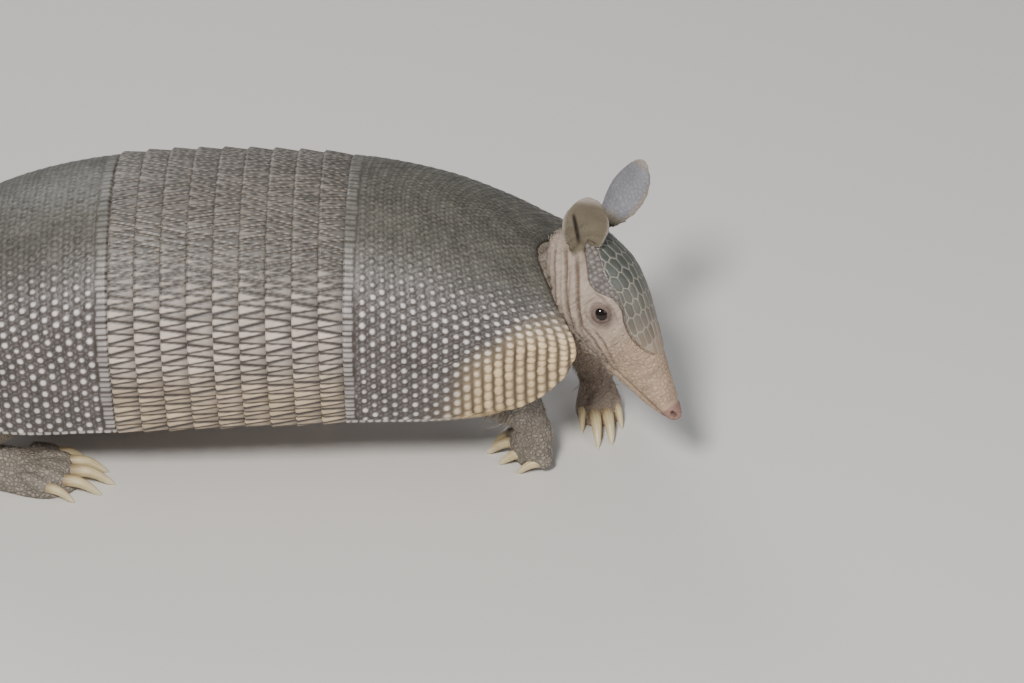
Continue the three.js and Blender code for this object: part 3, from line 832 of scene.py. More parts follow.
HIND_FOOT = planted_foot(66, curve_through((0, 17), (0.3, 17), (0.65, 12), (1, 7)),
                         curve_through((0, 10), (0.35, 12), (0.8, 17), (1, 15)), lambda u: 1 + 0 * u)
HIND_CLAWS = claws_fan(7, ((-13, 50, 66, 5), (-7, 57, 78, 6), (0, 59, 83, 6.4), (7, 57, 78, 6),
                           (13, 50, 66, 5)))
FORE_FOOT = planted_foot(30, curve_through((0, 14), (0.5, 11), (1, 7)),
                         curve_through((0, 8.5), (0.6, 12), (1, 11)),
                         curve_through((0, 8), (0.5, 3), (1, 1)))
FORE_CLAWS = claws_fan(7, ((-8.6, 20, 33, 4.4), (-3, 24, 46, 6), (3, 24, 44, 6), (8.4, 20, 32, 4.4)))

# The right forefoot is folded back in mid stride, and its hand stands on the knuckles.
KNUCKLE_ROW = np.array((0.766, -0.643, 0))
folded_wide = curve_through((0, 10), (0.4, 12), (1, 9.5))
folded_thick = curve_through((0, 6), (0.5, 7.5), (1, 9))


def folded_foot(u, along, through):
    centre = np.stack((lerp(-2, 3, u), 0 * u, lerp(-1, 29, u)), axis=-1)
    across = np.array((-KNUCKLE_ROW[1], KNUCKLE_ROW[0], 0))
    wide = np.outer(along * folded_wide(u), KNUCKLE_ROW)
    return centre + wide + np.outer(through * folded_thick(u), across)


FOLDED_CLAWS = [((-9, 11, 10), (-19, 12, -0.2), 4.4), ((-5, 6, 9), (-22, 7, -0.2), 5.8),
                ((1, -1, 8), (-16, -1, -0.2), 5.8), ((7, -7, 7), (-7, -8, -0.2), 5)]

fore_thick = curve_through((0, 18), (0.5, 15), (1, 11))
fore_thin = curve_through((0, 14), (0.5, 13.5), (1, 11))
bent_thick = curve_through((0, 20), (0.5, 16), (1, 9))
bent_thin = curve_through((0, 14), (0.5, 13), (1, 9))
hind_thick = curve_through((0, 26), (0.5, 19), (1, 9.5))
hind_thin = curve_through((0, 16), (0.5, 14), (1, 8.5))

# Each leg's foot and claws, the foot's place and heading, the leg's thickness fore and aft and
# across, its tone, and its path from inside the trunk to the ankle.
LEGS = (
    ("foreleg_left", FORE_FOOT, FORE_CLAWS, (42, 19), -84, fore_thick, fore_thin, PINK_LIT_LEG_TONE,
     ((-8, 22, 84), (10, 20, 64), (34, 15, 44), (42, 13, 20))),
    ("foreleg_right", folded_foot, FOLDED_CLAWS, (9, -37), 0, bent_thick, bent_thin, LEG_TONE,
     ((-30, -36, 86), (-20, -40, 66), (0, -39, 46), (11, -37, 24))),
    ("hindleg_left", HIND_FOOT, HIND_CLAWS, (-246, 43), 6, hind_thick, hind_thin, LEG_TONE,
     ((-232, 38, 84), (-214, 43, 62), (-222, 44, 40), (-236, 43, 17))),
    ("hindleg_right", HIND_FOOT, HIND_CLAWS, (-278, -43), -7, hind_thick, hind_thin, LEG_TONE,
     ((-246, -38, 84), (-236, -43, 62), (-252, -44, 40), (-268, -43, 17))),
)


def from_foot(place, heading):
    """A function that moves points from a foot's own frame to the layout."""
    turn = np.array(Euler((0, 0, math.radians(heading))).to_matrix())
    return lambda points: np.array((*place, 0)) + points @ turn.T


def toe_surface(root, tip, width, reach_in):
    """A toe, from inside the foot to the root of its claw, with a knuckle over the claw."""
    root, tip = np.array(root, float), np.array(tip, float)
    forward = (tip - root) / np.linalg.norm(tip - root)
    side = np.cross(forward, (0, 0, 1))
    side /= np.linalg.norm(side)
    up = np.cross(side, forward)
    thick = curve_through((0, 0.5), (0.6, 0.72), (0.85, 0.74), (1, 0.66))

    def surface(u, left, above):
        centre = root + np.outer(lerp(-reach_in, 3.2, u), forward)
        return centre + np.outer(left * thick(u) * width, side) + np.outer(above * thick(u) * width, up)

    return surface


for _, foot, claws, place, heading, thick, thin, tone, path in LEGS:
    to_layout = from_foot(place, heading)
    # The pink leg's scales are drawn faint, partly so that it stays painted light in the shade of head
    # and shield.
    rough = 0.6 if tone is PINK_LIT_LEG_TONE else 1.0  # the pink leg's scales are faint
    add_flesh(40, 64, 7, limb_surface(path, thin, thick), tone, rough)
    add_flesh(40, 40, 2.8, lambda u, left, up: to_layout(foot(u, left, up)), tone, rough)
    ankle = lerp(np.array(path[-1], float), np.array((*place, path[-1][2] - 6)), 0.45)
    add_flesh(24, 24, 2, rounded_body(ankle, (9.5, 9.5, 12)), tone, rough)
    for root, tip, width in claws:
        toe = toe_surface(root, tip, width, 5 if foot is folded_foot else 13)
        add_flesh(20, 20, 4, lambda u, left, up: to_layout(toe(u, left, up)), tone, 0.8 * rough)

bmesh.ops.recalc_face_normals(flesh, faces=flesh.faces)
hide = tinted_material("hide", 0.60, 0.12, 0.010, 0.6, 0.0007, 0.35)
SCALE_SIZE = 0.0021


def sum_of(tree, value, factor, more):
    """A node's output that is value times factor plus more."""
    inputs = {0: value, 1: factor, 2: more}
    return add_node(tree, "ShaderNodeMath", inputs, operation="MULTIPLY_ADD").outputs[0]


def add_scales(material):
    """Small rounded scales with dark furrows between them, where the points' scaly value is up."""
    tree = material.node_tree
    shader = tree.nodes["Principled BSDF"]
    place = add_node(tree, "ShaderNodeTexCoord").outputs["Object"]
    scaly = add_node(tree, "ShaderNodeAttribute", attribute_name="scaly").outputs["Fac"]
    inputs = {"Vector": place, "Scale": 1 / SCALE_SIZE}
    edges = add_node(tree, "ShaderNodeTexVoronoi", inputs, feature="DISTANCE_TO_EDGE")
    cells = add_node(tree, "ShaderNodeTexVoronoi", inputs)
    gap = add_node(tree, "ShaderNodeMapRange", {"Value": edges.outputs["Distance"], "From Min": 0.02,
                   "From Max": 0.24, "To Min": 1.0, "To Max": 0.0}, interpolation_type="SMOOTHSTEP")
    own = add_node(tree, "ShaderNodeMapRange",
                   {"Value": cells.outputs["Color"], "To Min": -0.18, "To Max": 0.18})
    depth = sum_of(tree, gap.outputs["Result"], scaly, 0.0)
    shade = sum_of(tree, own.outputs["Result"], scaly, 1.0)
    shade_colour(material, sum_of(tree, depth, -0.38, shade))
    sink_surface(material, depth, 0.0005)


def shade_colour(material, shade):
    """Multiplies a material's colour by a node's output."""
    tree = material.node_tree
    colour_input = tree.nodes["Principled BSDF"].inputs["Base Color"]
    before = colour_input.links[0].from_socket
    colour = add_node(tree, "ShaderNodeVectorMath", {0: before, 1: shade}, operation="MULTIPLY")
    tree.links.new(colour.outputs["Vector"], colour_input)


def sink_surface(material, hollows, depth):
    """Sinks a material's surface where a node's output is high."""
    tree = material.node_tree
    normal_input = tree.nodes["Principled BSDF"].inputs["Normal"]
    before = normal_input.links[0].from_socket
    bump = add_node(tree, "ShaderNodeBump", {"Height": hollows, "Distance": depth, "Normal": before},
                    invert=True)
    tree.links.new(bump.outputs["Normal"], normal_input)


def add_creases(material):
    """Fine creases across the direction that the points' creased value is drawn out in, where
    their wrinkled value is up."""
    tree = material.node_tree
    place = add_node(tree, "ShaderNodeAttribute", attribute_name="creased").outputs["Vector"]
    wrinkled = add_node(tree, "ShaderNodeAttribute", attribute_name="wrinkled").outputs["Fac"]
    fine = add_node(tree, "ShaderNodeTexNoise", {"Vector": place, "Scale": 1.0, "Detail": 3.0})
    valleys = add_node(tree, "ShaderNodeMapRange", {"Value": fine.outputs["Fac"], "From Min": 0.56,
                       "From Max": 0.34, "To Min": 0.0, "To Max": 1.0})
    deep = sum_of(tree, valleys.outputs["Result"], wrinkled, 0.0)
    # The creases' valleys are darkened with painted shade.
    shade_colour(material, sum_of(tree, deep, -0.15, 1.04))
    sink_surface(material, deep, 0.00025)


add_creases(hide)
add_scales(hide)
rough_skin = linked_object("rough_skin", flesh, hide)


def with_modifier(piece, kind, **settings):
    """Runs one modifier on a piece and keeps its result."""
    modifier = piece.modifiers.new(kind.lower(), kind)
    for name, value in settings.items():
        setattr(modifier, name, value)
    shaped = piece.evaluated_get(bpy.context.evaluated_depsgraph_get())
    mesh = bpy.data.meshes.new_from_object(shaped)
    piece.modifiers.clear()
    old = piece.data
    piece.data = mesh
    bpy.data.meshes.remove(old)


def layout_points(bm):
    return np.array([vertex.co for vertex in bm.verts]) * TO_MM + ORIGIN


def chosen_vertices(bm, chosen):
    bm.verts.ensure_lookup_table()
    return [bm.verts[int(k)] for k in np.flatnonzero(chosen)]


def body_coordinates(points):
    """The station, distance to the left and height of points in the layout."""
    ahead = points[:, 0] - REAR_X - TURN_START
    outwards = points[:, 1] + TURN_RADIUS
    turned = ahead > 0
    station = TURN_START + np.where(turned, TURN_RADIUS * np.arctan2(ahead, outwards), ahead)
    left = np.where(turned, np.hypot(ahead, outwards) - TURN_RADIUS, points[:, 1])
    return station, left, points[:, 2]


def plain_places(points):
    """Which points lie under the carapace, well inside its free edges, or on the plain belly."""
    station, left, height = body_coordinates(points)
    inside = (height > rim_height(station) + 7) & (np.abs(left) < half_width(station))
    belly = (height > 28) & (station > 110) & (station < 268)
    return (inside & (station > 14) & (station < 312)) | belly


def beside_ear(in_head):
    """Which points, in the head's frame, are on an ear clear of its root."""
    chosen = np.zeros(len(in_head), bool)
    for root, lean, length in EARS:
        long, out, wide = ear_axes(root, lean)
        from_root = in_head - root
        share = from_root @ long / length
        near = (share > 0.25) & (share < 1.2) & (np.abs(from_root @ wide) < 16)
        chosen |= near & (np.abs(from_root @ out) < 9) & (in_head[:, 1] * root[1] > 0)
    return chosen


def smooth_flesh(bm, times, vertices):
    for _ in range(times):
        bmesh.ops.smooth_vert(bm, verts=vertices, factor=0.5,
                              use_axis_x=True, use_axis_y=True, use_axis_z=True)


with_modifier(rough_skin, "REMESH", mode="VOXEL", voxel_size=VOXEL)
bm = bmesh.new()
bm.from_mesh(rough_skin.data)
smooth_flesh(bm, 3, bm.verts)
smooth_flesh(bm, 7, chosen_vertices(bm, beside_ear(to_head(layout_points(bm)))))
bm.to_mesh(rough_skin.data)
plain = plain_places(layout_points(bm))
bm.free()
group = rough_skin.vertex_groups.new(name="plain")
group.add([int(k) for k in np.flatnonzero(plain)], 1.0, "REPLACE")
with_modifier(rough_skin, "DECIMATE", ratio=1 - 0.92 * plain.mean(), vertex_group="plain")

# Finer faces on the head, where the folds, lids and nostrils are, and on the ears.
bm = bmesh.new()
bm.from_mesh(rough_skin.data)
in_head = to_head(layout_points(bm))
radius = np.hypot(in_head[:, 1], in_head[:, 2])
shield_angle = np.degrees(np.arctan2(np.abs(in_head[:, 1]), in_head[:, 2]))
on_face = (in_head[:, 0] > 6) & (in_head[:, 0] < 112) & (radius < 32)
on_face &= ~((shield_angle < shield_spread(in_head[:, 0]) - 6) & (in_head[:, 0] < 72))
on_face |= beside_ear(in_head)
fine = set(chosen_vertices(bm, on_face))
bmesh.ops.subdivide_edges(bm, edges=[edge for edge in bm.edges if fine.issuperset(edge.verts)],
                          cuts=1, use_grid_fill=True, smooth=0.6)
smooth_flesh(bm, 3, chosen_vertices(bm, beside_ear(to_head(layout_points(bm)))))
bm.normal_update()
points = layout_points(bm)
normals = np.array([vertex.normal for vertex in bm.verts])
in_head = to_head(points)
head_normals = normals @ HEAD_TURN

# Each point's tone and scaliness come from the bodies' points nearest to it.
tree = KDTree(sum(len(part) for part in flesh_points))
for k, point in enumerate(np.concatenate(flesh_points)):
    tree.insert(point, k)
tree.balance()
marks = np.concatenate(flesh_marks)
found = np.array([[(k, away) for _, k, away in tree.find_n(point, 6)] for point in points])
nearness = 1 / (found[:, :, 1] + 0.8) ** 2
nearness /= nearness.sum(axis=1)[:, None]
blended = (marks[found[:, :, 0].astype(int)] * nearness[:, :, None]).sum(axis=1)
tone, scaly = blended[:, :3], blended[:, 3]


def bent_line(x, y, knots):
    """How far points are from a bent line, and how far along it the nearest place is, 0 to 1."""
    nearest = np.full(x.shape, 1e6)
    share = np.zeros(x.shape)
    for k, (start, end) in enumerate(zip(knots[:-1], knots[1:])):
        run = (end[0] - start[0], end[1] - start[1])
        t = ((x - start[0]) * run[0] + (y - start[1]) * run[1]) / (run[0] ** 2 + run[1] ** 2)
        t = np.clip(t, 0, 1)
        away = np.hypot(x - start[0] - t * run[0], y - start[1] - t * run[1])
        share = np.where(away < nearest, (k + t) / (len(knots) - 1), share)
        nearest = np.minimum(nearest, away)
    return nearest, share


def crease(away, share, depth, width):
    """The depth of a fold across and along it, with a swelling on both its sides, and how strongly its
    hollow is painted with shade.
    """
    fade = np.clip(np.minimum(share, 1 - share) * 5, 0, 1) ** 0.7
    hollow = np.exp(-(away / width) ** 2)
    swelling = 0.45 * np.exp(-((away - 2.3 * width) / (1.3 * width)) ** 2)
    return depth * fade * (hollow - swelling), fade * hollow


x, across, up = in_head.T
angle = np.degrees(np.arctan2(np.abs(across), up))
ARC_PER_DEGREE = 0.36
from_axis = np.hypot(across, up)
on_head = smooth_step(-8, 2, x) * smooth_step(36, 30, from_axis)
girth = np.maximum(head_half_width(x), head_top(x))
is_head = (x > -6) & (x < 112) & (from_axis < girth + 3.5)
lift = np.zeros(len(points))
dark = np.zeros(len(points))

# Folds of the cheek and throat: place along the head and angle from its top, depth and width. Their
# hollows are darkened with painted shade.
FOLDS = (
    (((13, 50), (19, 62), (29, 78), (41, 97), (47, 112)), 1.4, 0.75),
    (((6, 52), (12, 68), (23, 87), (38, 108), (46, 124)), 1.2, 0.8),
    (((2, 72), (10, 90), (22, 108), (34, 126)), 0.9, 0.9),
    (((17, 70), (27, 88), (36, 104)), 0.5, 0.5),
    (((42, 100), (52, 104), (62, 116), (71, 140)), 1.1, 0.7),
    (((46, 90), (56, 95), (64, 106), (71, 120)), 0.8, 0.6),
    (((38, 116), (50, 122), (60, 136)), 0.7, 0.7),
    (((33, 62), (38, 58), (46, 55), (54, 59)), 0.6, 0.5),
    (((36, 84), (44, 88), (52, 86)), 0.4, 0.5),
)
for knots, depth, width in FOLDS:
    line = [(place, degrees * ARC_PER_DEGREE) for place, degrees in knots]
    fold, shade = crease(*bent_line(x, angle * ARC_PER_DEGREE, line), depth, width)
    lift -= fold * is_head
    dark = np.maximum(dark, shade * is_head * min(1, depth))

# The mouth runs low along the side of the snout, and the nose is a pad with two nostrils.
mouth = curve_through((48, -12.5), (70, -8.2), (101, -4.2))
away = np.abs(up - mouth(x))
shut = np.exp(-(away / 0.7) ** 2) * smooth_step(46, 54, x) * smooth_step(105, 101, x) * is_head
lift -= 0.9 * shut
# The mouth's line is darkened with painted shade.
dark = np.maximum(dark, 0.9 * shut)
pad = smooth_step(98.5, 100.5, x) * is_head
lift -= 0.45 * np.exp(-((x - 98.5) / 0.9) ** 2) * is_head * (up > -6)
from_nostril = np.hypot(np.abs(across) - 3.6, (up - 0.6) * 1.25)
in_pit = smooth_step(2.1, 1.2, from_nostril) * smooth_step(101, 103, x) * is_head
tone = blend_tones(tone, MUZZLE_TONE, smooth_step(44, 74, x) * is_head)
tone = blend_tones(tone, NOSE_TONE, pad)


def wrinkles(place, pitch):
    """Fine creases that run round the head and neck."""
    return noise.noise(Vector((place[0] / pitch, place[1] * 0.10, place[2] * 0.12)))


# Fine wrinkles, and where the small scales of the snout, neck and rump are.
ripple = np.array([wrinkles(place, 2.4) + 0.5 * wrinkles(place, 1.1) for place in in_head])
throat = smooth_step(98, 122, angle) * smooth_step(76, 60, x) * on_head
lift += (0.30 + 0.45 * throat) * ripple * smooth_step(90, 70, x) * on_head
# Painted shade darkens the troughs of the throat's wrinkles.
dark = np.maximum(dark, 0.7 * throat * smooth_step(0.05, -0.45, ripple))
tone = blend_tones(tone, THROAT_TONE, 0.8 * throat)
snout = smooth_step(46, 64, x) * smooth_step(99, 96, x) * is_head * smooth_step(140, 112, angle)
neck_scales = 0.45 * smooth_step(16, 4, x) * smooth_step(-34, -22, x) * (from_axis < 40)
scaly = np.maximum(np.maximum(scaly * (1 - is_head), 0.50 * snout), neck_scales)
tone = tone * (1 - 0.16 * snout * smooth_step(-0.1, 0.5, ripple))[:, None]
station, left, height = body_coordinates(points)
rump = smooth_step(26, 10, station)
tone = blend_tones(tone, RUMP_TONE, rump)
scaly = np.maximum(scaly, 0.8 * rump)

# The plain hide of chest and belly lies in soft rolls, one above the other.
chest = smooth_step(292, 316, station) * smooth_step(100, 84, height) * (1 - scaly) * (1 - is_head)
tone = blend_tones(tone, THROAT_TONE * 0.8, chest)
rolls = np.array([noise.noise(Vector(place)) for place in points * (0.10, 0.10, 0.34)])
smooth_hide = (1 - np.clip(scaly * 1.4, 0, 1)) * (1 - is_head)
lift += (0.35 + 0.7 * chest) * rolls * smooth_hide
# Painted shade darkens the troughs between the chest's rolls.
dark = np.maximum(dark, 0.55 * chest * smooth_step(0.0, -0.4, rolls))

# Lids: the hide rises in a ring round each eyeball and opens in an almond over it.
EYE_RADIUS = 4.7
EYE_PLACE = np.array((43, 17.6, 6.5))
EYE_OUT = np.array((0.22, 0.92, 0.33))
EYE_OUT /= np.linalg.norm(EYE_OUT)
EYE_ALONG = np.array((1, 0, 0)) - EYE_OUT * EYE_OUT[0]
EYE_ALONG /= np.linalg.norm(EYE_ALONG)
EYE_ABOVE = np.cross(EYE_ALONG, EYE_OUT)
MIRROR = np.array((1, -1, 1))
lid_skin_and_shade = np.zeros(len(points))
for side in (-1, 1):
    flip = MIRROR if side < 0 else 1
    from_eye = in_head * flip - EYE_PLACE
    along, above, out = from_eye @ EYE_ALONG, from_eye @ EYE_ABOVE, from_eye @ EYE_OUT
    ring = np.hypot(along, above)
    far = np.linalg.norm(from_eye, axis=1)
    near_eye = is_head & (far < 11) & (out > -2)
    opening = np.hypot(along / 2.75, above / (1.95 + 0.10 * along))  # 1 at the lids' edge
    wanted = lerp(3.0, EYE_RADIUS + 0.8, smooth_step(0.84, 1.10, opening))
    moved = np.where(opening < 1.10, wanted, np.maximum(far, wanted))
    moved = np.where(near_eye & (ring < 6.2), moved, far)
    in_head += (from_eye * (moved / np.maximum(far, 1e-6) - 1)[:, None]) * flip
    upper = smooth_step(-1.5, 1.5, above)
    fold = lerp(0.5, 1.0, upper) * np.exp(-((np.hypot(along / 1.25, above) - 4.5) / 0.45) ** 2)
    fold += lerp(0.6, 0.35, upper) * np.exp(-((np.hypot(along / 1.3, above + 0.4) - 6.3) / 0.6) ** 2)
    lift -= 0.6 * fold * (1 + 0.8 * ripple) * near_eye
    # Painted shade darkens the lids' folds.
    dark = np.maximum(dark, 0.5 * fold * near_eye)
    # A darker ring round each eye: partly the lids' own darker skin, partly painted shade round the
    # sunken eye.
    shadow = np.hypot((along - 0.8) / 1.25, above + 0.2)
    lid_skin_and_shade = np.maximum(lid_skin_and_shade, smooth_step(6.6, 3.8, shadow) * near_eye)
    # Painted shade darkens the lids' edge round the eye's opening.
    dark = np.maximum(dark, smooth_step(1.22, 1.0, opening) * near_eye)
tone = blend_tones(tone, LID_SKIN_AND_SHADE_TONE, 0.85 * lid_skin_and_shade)

# The hide dips under the head shield, which is set into it.
shield_edge = np.minimum((shield_spread(x) - angle) * ARC_PER_DEGREE * 1.1,
                         np.minimum(x - SHIELD_REAR, (SHIELD_FRONT - 2 - x) * 0.25))
sunk = np.minimum(lift, 0) - 1.3 * smooth_step(0.4, 1.4, shield_edge)
lift = np.where(is_head & (shield_edge > 0.4), sunk, lift)

# Ears: granular behind, smooth in the hollow, with a rim painted pale as a highlight and a slit near
# the rear edge darkened with painted shade.
wrinkled = 1 - 0.8 * np.clip(scaly, 0, 1)
for root, lean, length in EARS:
    long, out, wide = ear_axes(root, lean)
    from_root = in_head - root
    share = from_root @ long / length
    sideways = from_root @ wide
    width = ear_half_width(share)
    hollow = EAR_CUP * (1 - 0.5 * share) * ((sideways / width) ** 2 - 0.5)
    through = from_root @ out - hollow
    on_ear = (share > 0.12) & (share < 1.1) & (np.abs(sideways) < width + 2) & (np.abs(through) < 4.5)
    on_ear &= in_head[:, 1] * root[1] > 0
    behind = smooth_step(0.4, -0.4, head_normals @ out) * on_ear * smooth_step(0.12, 0.34, share)
    rim = smooth_step(width * 0.76, width * 0.92, np.abs(sideways))
    rim = np.maximum(rim, smooth_step(0.85, 0.95, share))
    grow = smooth_step(0.12, 0.30, share) * on_ear
    tone = blend_tones(tone, EAR_TONE, grow)
    tone = blend_tones(tone, EAR_BACK_TONE, behind * grow * (1 - rim))
    tone = blend_tones(tone, EAR_RIM_HIGHLIGHT_TONE, rim * grow * 0.7)
    scaly = np.where(on_ear, lerp(0.12, 0.38, behind) * grow, scaly)
    wrinkled = np.where(on_ear, wrinkled * (1 - grow), wrinkled)
    rear = np.sign(wide[0]) * -1
    line = ((0.18 * length, rear * 1.2), (0.72 * length, rear * 6.6))
    slit, shade = crease(*bent_line(share * length, sideways, line), 1.3, 0.65)
    lift -= slit * (1 - behind) * on_ear
    tone = blend_tones(tone, SLIT_SHADE_TONE, np.minimum(1, 1.3 * shade) * (1 - behind) * on_ear)

lift -= 2.2 * in_pit
# Painted shade darkens the nostrils.
dark = np.maximum(dark, in_pit)
# All this painted shade of folds, mouth, wrinkles, lids and nostrils is laid on in the crease tone.
tone = blend_tones(tone, CREASE_TONE, np.clip(dark, 0, 1) * 0.85)
points = np.where(is_head[:, None], from_head(in_head), points) + normals * lift[:, None]
points[:, 2] = np.maximum(points[:, 2], 0)
move_vertices(bm.verts, points)
skin = linked_object("skin", bm, hide)
tint_points(skin, tone)
store_on_points(skin, "scaly", "FLOAT", "value", np.clip(scaly, 0, 1))
store_on_points(skin, "wrinkled", "FLOAT", "value", wrinkled)
store_on_points(skin, "creased", "FLOAT_VECTOR", "vector", in_head * (0.95, 0.20, 0.20))
bpy.data.objects.remove(rough_skin)
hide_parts("head", "jaw", "ear_left", "ear_right", "trunk", "neck",
            *(f"{name}_{part}" for name, *_ in LEGS for part in ("upper", "lower", "foot")))
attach(skin, "root")

# ---- Bristles -----------------------------------------------------------------------------
# Sparse stiff hairs grow from the bare hide: a fringe under the shell's rim, long ones on the
# belly, short ones on the throat, neck and legs. Each is a thin bent spike, thickest below.

BRISTLE_TONE = np.array((0.58, 0.50, 0.40))
BRISTLE_ROOT_TONE = np.array((0.20, 0.15, 0.12))
PATCH = 0.003
mesh = skin.data
roots = np.empty(len(mesh.vertices) * 3)
mesh.vertices.foreach_get("co", roots)
roots = roots.reshape(-1, 3) * TO_MM + ORIGIN
outwards = np.array([normal.vector for normal in mesh.vertex_normals])
station, left, height = body_coordinates(roots)
x, across, up = to_head(roots).T
angle = np.degrees(np.arctan2(np.abs(across), up))
from_axis = np.hypot(across, up)
face = (x > 4) & (x < 84) & (from_axis < 32)
below_rim = height < rim_height(station) + 2
fringe = (station > 22) & (station < 318) & (np.abs(left) > 38) & ~face & below_rim & (height > 34)
belly = (station > 50) & (station < 322) & (np.abs(left) < 44) & (height < 52) & (height > 26) & ~face
throat = face & (angle > 86) & (np.abs(across) + np.abs(up) > 4)
legs = (height > 13) & (height < 40) & ~belly & ~face & (station > 22)
neck = (x < 2) & (x > -22) & (from_axis < 30) & (angle < 130) & (up < 8)
HEAD_REARWARDS = HEAD_TURN @ (-1, 0, 0)
GROWTH = (  # where, how many, shortest and longest, rise from the hide, and lie
    (fringe, 1100, 6, 12, 0.12, (-0.25, 0, -1)),
    (belly, 700, 7, 15, 0.45, (-0.7, 0, -0.6)),
    (throat, 420, 2.5, 5, 0.40, HEAD_REARWARDS),
    (legs, 1500, 3, 7, 0.30, (0, 0, -1)),
    (neck, 120, 2, 4, 0.45, HEAD_REARWARDS),
)
random = np.random.default_rng(12)
grown = []
for where, count, shortest, longest, rise, lie in GROWTH:
    for k in random.choice(np.flatnonzero(where), count, replace=False):
        grown.append((k, random.uniform(shortest, longest), rise * random.uniform(0.5, 1.5),
                      *(np.array(lie) + random.normal(0, 0.22, 3))))
grown = np.array(grown)

# The spikes are made upright in one long row, and each is then laid along the hide at its root.
SPACING = 4
bm = bmesh.new()
for number in range(len(grown)):
    bmesh.ops.create_cone(bm, cap_ends=True, segments=3, radius1=1, radius2=0, depth=1,
                          matrix=Matrix.Translation((SPACING * number, 0, 0.5)))
sides = [edge for edge in bm.edges if abs(edge.verts[0].co.z - edge.verts[1].co.z) > 0.5]
bmesh.ops.subdivide_edges(bm, edges=sides, cuts=1)
unit = np.array([vertex.co for vertex in bm.verts])
number = np.round(unit[:, 0] / SPACING).astype(int)
unit[:, 0] -= SPACING * number
k, length, rise = grown[number, 0].astype(int), grown[number, 1:2], grown[number, 2:3]
out = outwards[k]
lie = grown[number, 3:]
lie = lie - out * (lie * out).sum(axis=1)[:, None]
lie /= np.linalg.norm(lie, axis=1)[:, None]
along = unit[:, 2:3]
thick = 0.16 + 0.010 * length
points = roots[k] + lie * length * along * (0.7 + 0.3 * along)
points += out * length * rise * along * (1.3 - 0.6 * along)
points += np.cross(lie, out) * unit[:, 0:1] * thick + out * unit[:, 1:2] * thick - out * 0.3
points[:, 2] = np.maximum(points[:, 2], 0.1)
place_vertices(bm, points)
bristle_horn = tinted_material("bristle_horn", 0.45, 0.10, 0.006, 0.1, 0.001)
bristles = linked_object("bristles", bm, bristle_horn)
tint_points(bristles, blend_tones(BRISTLE_ROOT_TONE, BRISTLE_TONE, along[:, 0]))

# Each bristle has a small patch of the unwrapped hide, at its root's place there: trunk and head
# are rolled out round their lengths, and the legs round their heights.
feet = np.array([place for _, _, _, place, *_ in LEGS], float)
from_feet = roots[:, None, :2] - feet
leg = np.argmin(np.hypot(from_feet[:, :, 0], from_feet[:, :, 1]), axis=1)
from_foot_middle = from_feet[np.arange(len(roots)), leg]
leg_turn = np.arctan2(from_foot_middle[:, 1], from_foot_middle[:, 0]) / (2 * math.pi) + 0.5
trunk_turn = np.arctan2(left, 80 - height) / (2 * math.pi) + 0.5
head_turn = np.arctan2(across, up) / (2 * math.pi) + 0.5
on_trunk = np.stack((0.02 + 0.96 * station / 340, 0.02 + 0.46 * trunk_turn), axis=-1)
on_head = np.stack((0.02 + 0.44 * (x + 30) / 120, 0.52 + 0.46 * head_turn), axis=-1)
on_leg = np.stack((0.50 + 0.12 * leg + 0.11 * leg_turn, 0.52 + 0.9 * height / 100), axis=-1)
spot = np.where((throat | neck)[:, None], on_head, np.where(legs[:, None], on_leg, on_trunk))
patches = spot[k] + PATCH / 2 * np.concatenate((unit[:, 0:1], 2 * along - 1), axis=1)
corners = np.empty(len(bristles.data.loops), np.int32)
bristles.data.loops.foreach_get("vertex_index", corners)
uv_map = bristles.data.uv_layers.new(name="OFBake")
uv_map.data.foreach_set("uv", patches[corners].astype(np.float32).ravel())
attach(bristles, "root")

# ---- Eyes ---------------------------------------------------------------------------------
# Each eye is a wet, nearly black ball deep between the lids.

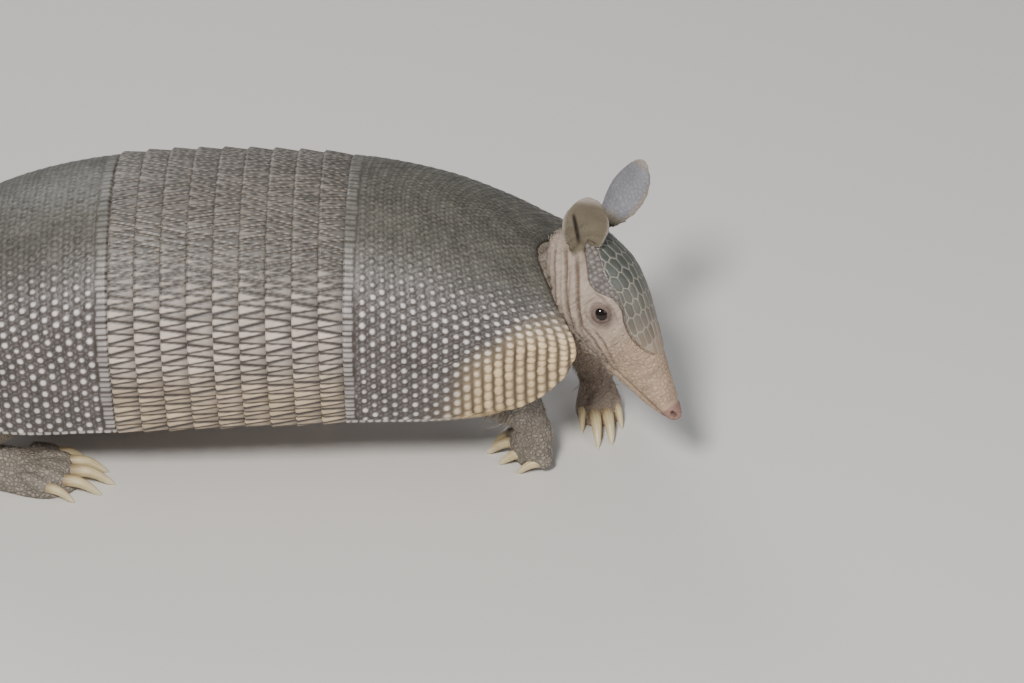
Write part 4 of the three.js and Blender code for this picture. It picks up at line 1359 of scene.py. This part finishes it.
wet_eye = plain_material("wet_eye", (0.012, 0.008, 0.006, 1), 0.06)
shader = wet_eye.node_tree.nodes["Principled BSDF"]
shader.inputs["Specular IOR Level"].default_value = 0.25
shader.inputs["Coat Weight"].default_value = 0.4
for side, word in ((1, "left"), (-1, "right")):
    bm = bmesh.new()
    bmesh.ops.create_uvsphere(bm, u_segments=32, v_segments=24, radius=EYE_RADIUS)
    unit = np.array([vertex.co for vertex in bm.verts])
    place_vertices(bm, from_head(EYE_PLACE * (1, side, 1) + unit))
    eye = linked_object(f"eyeball_{word}", bm, wet_eye)
    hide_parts(f"eye_{word}")
    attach(eye, "root")

# ---- Claws --------------------------------------------------------------------------------
# Long digging claws of ivory-coloured horn, ridged lengthwise, darker where they leave the toe.

CLAW_TONE = np.array((0.68, 0.555, 0.315))
CLAW_ROOT_TONE = np.array((0.40, 0.29, 0.16))
CLAW_TIP_TONE = np.array((0.76, 0.665, 0.44))
RIDGES = 9
claw_horn = tinted_material("claw_horn", 0.38, 0.10, 0.005, 0.35, 0.0006)
claw_thin = curve_through((0, 0.5), (0.5, 0.42), (0.85, 0.24), (1, 0.06))
claw_tall = curve_through((0, 0.5), (0.5, 0.45), (0.85, 0.27), (1, 0.08))


def claw_surface(root, tip, width):
    """A claw's points and tones, for each share along it and angle round it."""
    root, tip = np.array(root, float), np.array(tip, float)
    middle = (root + tip) / 2 + (0, 0, np.linalg.norm(tip - root) * 0.14)
    path = path_through((root, middle, tip))

    def surface(along, angle):
        place, side, up = square_to_path(path, along)
        ridge = 1 + 0.035 * np.cos(RIDGES * angle) * (1 - along)
        blunt = rounded_end(along, 0.05)
        left = np.cos(angle) * claw_thin(along) * width * ridge * blunt
        above = np.sin(angle) * claw_tall(along) * width * ridge * blunt
        tone = blend_tones(CLAW_ROOT_TONE, CLAW_TONE, smooth_step(0.08, 0.4, along))
        tone = blend_tones(tone, CLAW_TIP_TONE, smooth_step(0.6, 1.0, along))
        grain = 0.88 + 0.12 * np.cos(RIDGES * angle + 5 * along)
        return place + side * left[:, None] + up * above[:, None], tone * grain[:, None]

    return surface


for name, _, claws, place, heading, *_ in LEGS:
    to_layout = from_foot(place, heading)
    for number, (root, tip, width) in enumerate(claws, 1):
        bm, along, angle = ball_grid(24, 28)
        points, tones = claw_surface(root, tip, width)(along, angle)
        points = to_layout(points)
        points[:, 2] = np.maximum(points[:, 2], 0)
        place_vertices(bm, points)
        claw = linked_object(f"{name}_horn_{number}", bm, claw_horn)
        tint_points(claw, tones)
        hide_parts(f"{name}_claw_{number}")
        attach(claw, "root")
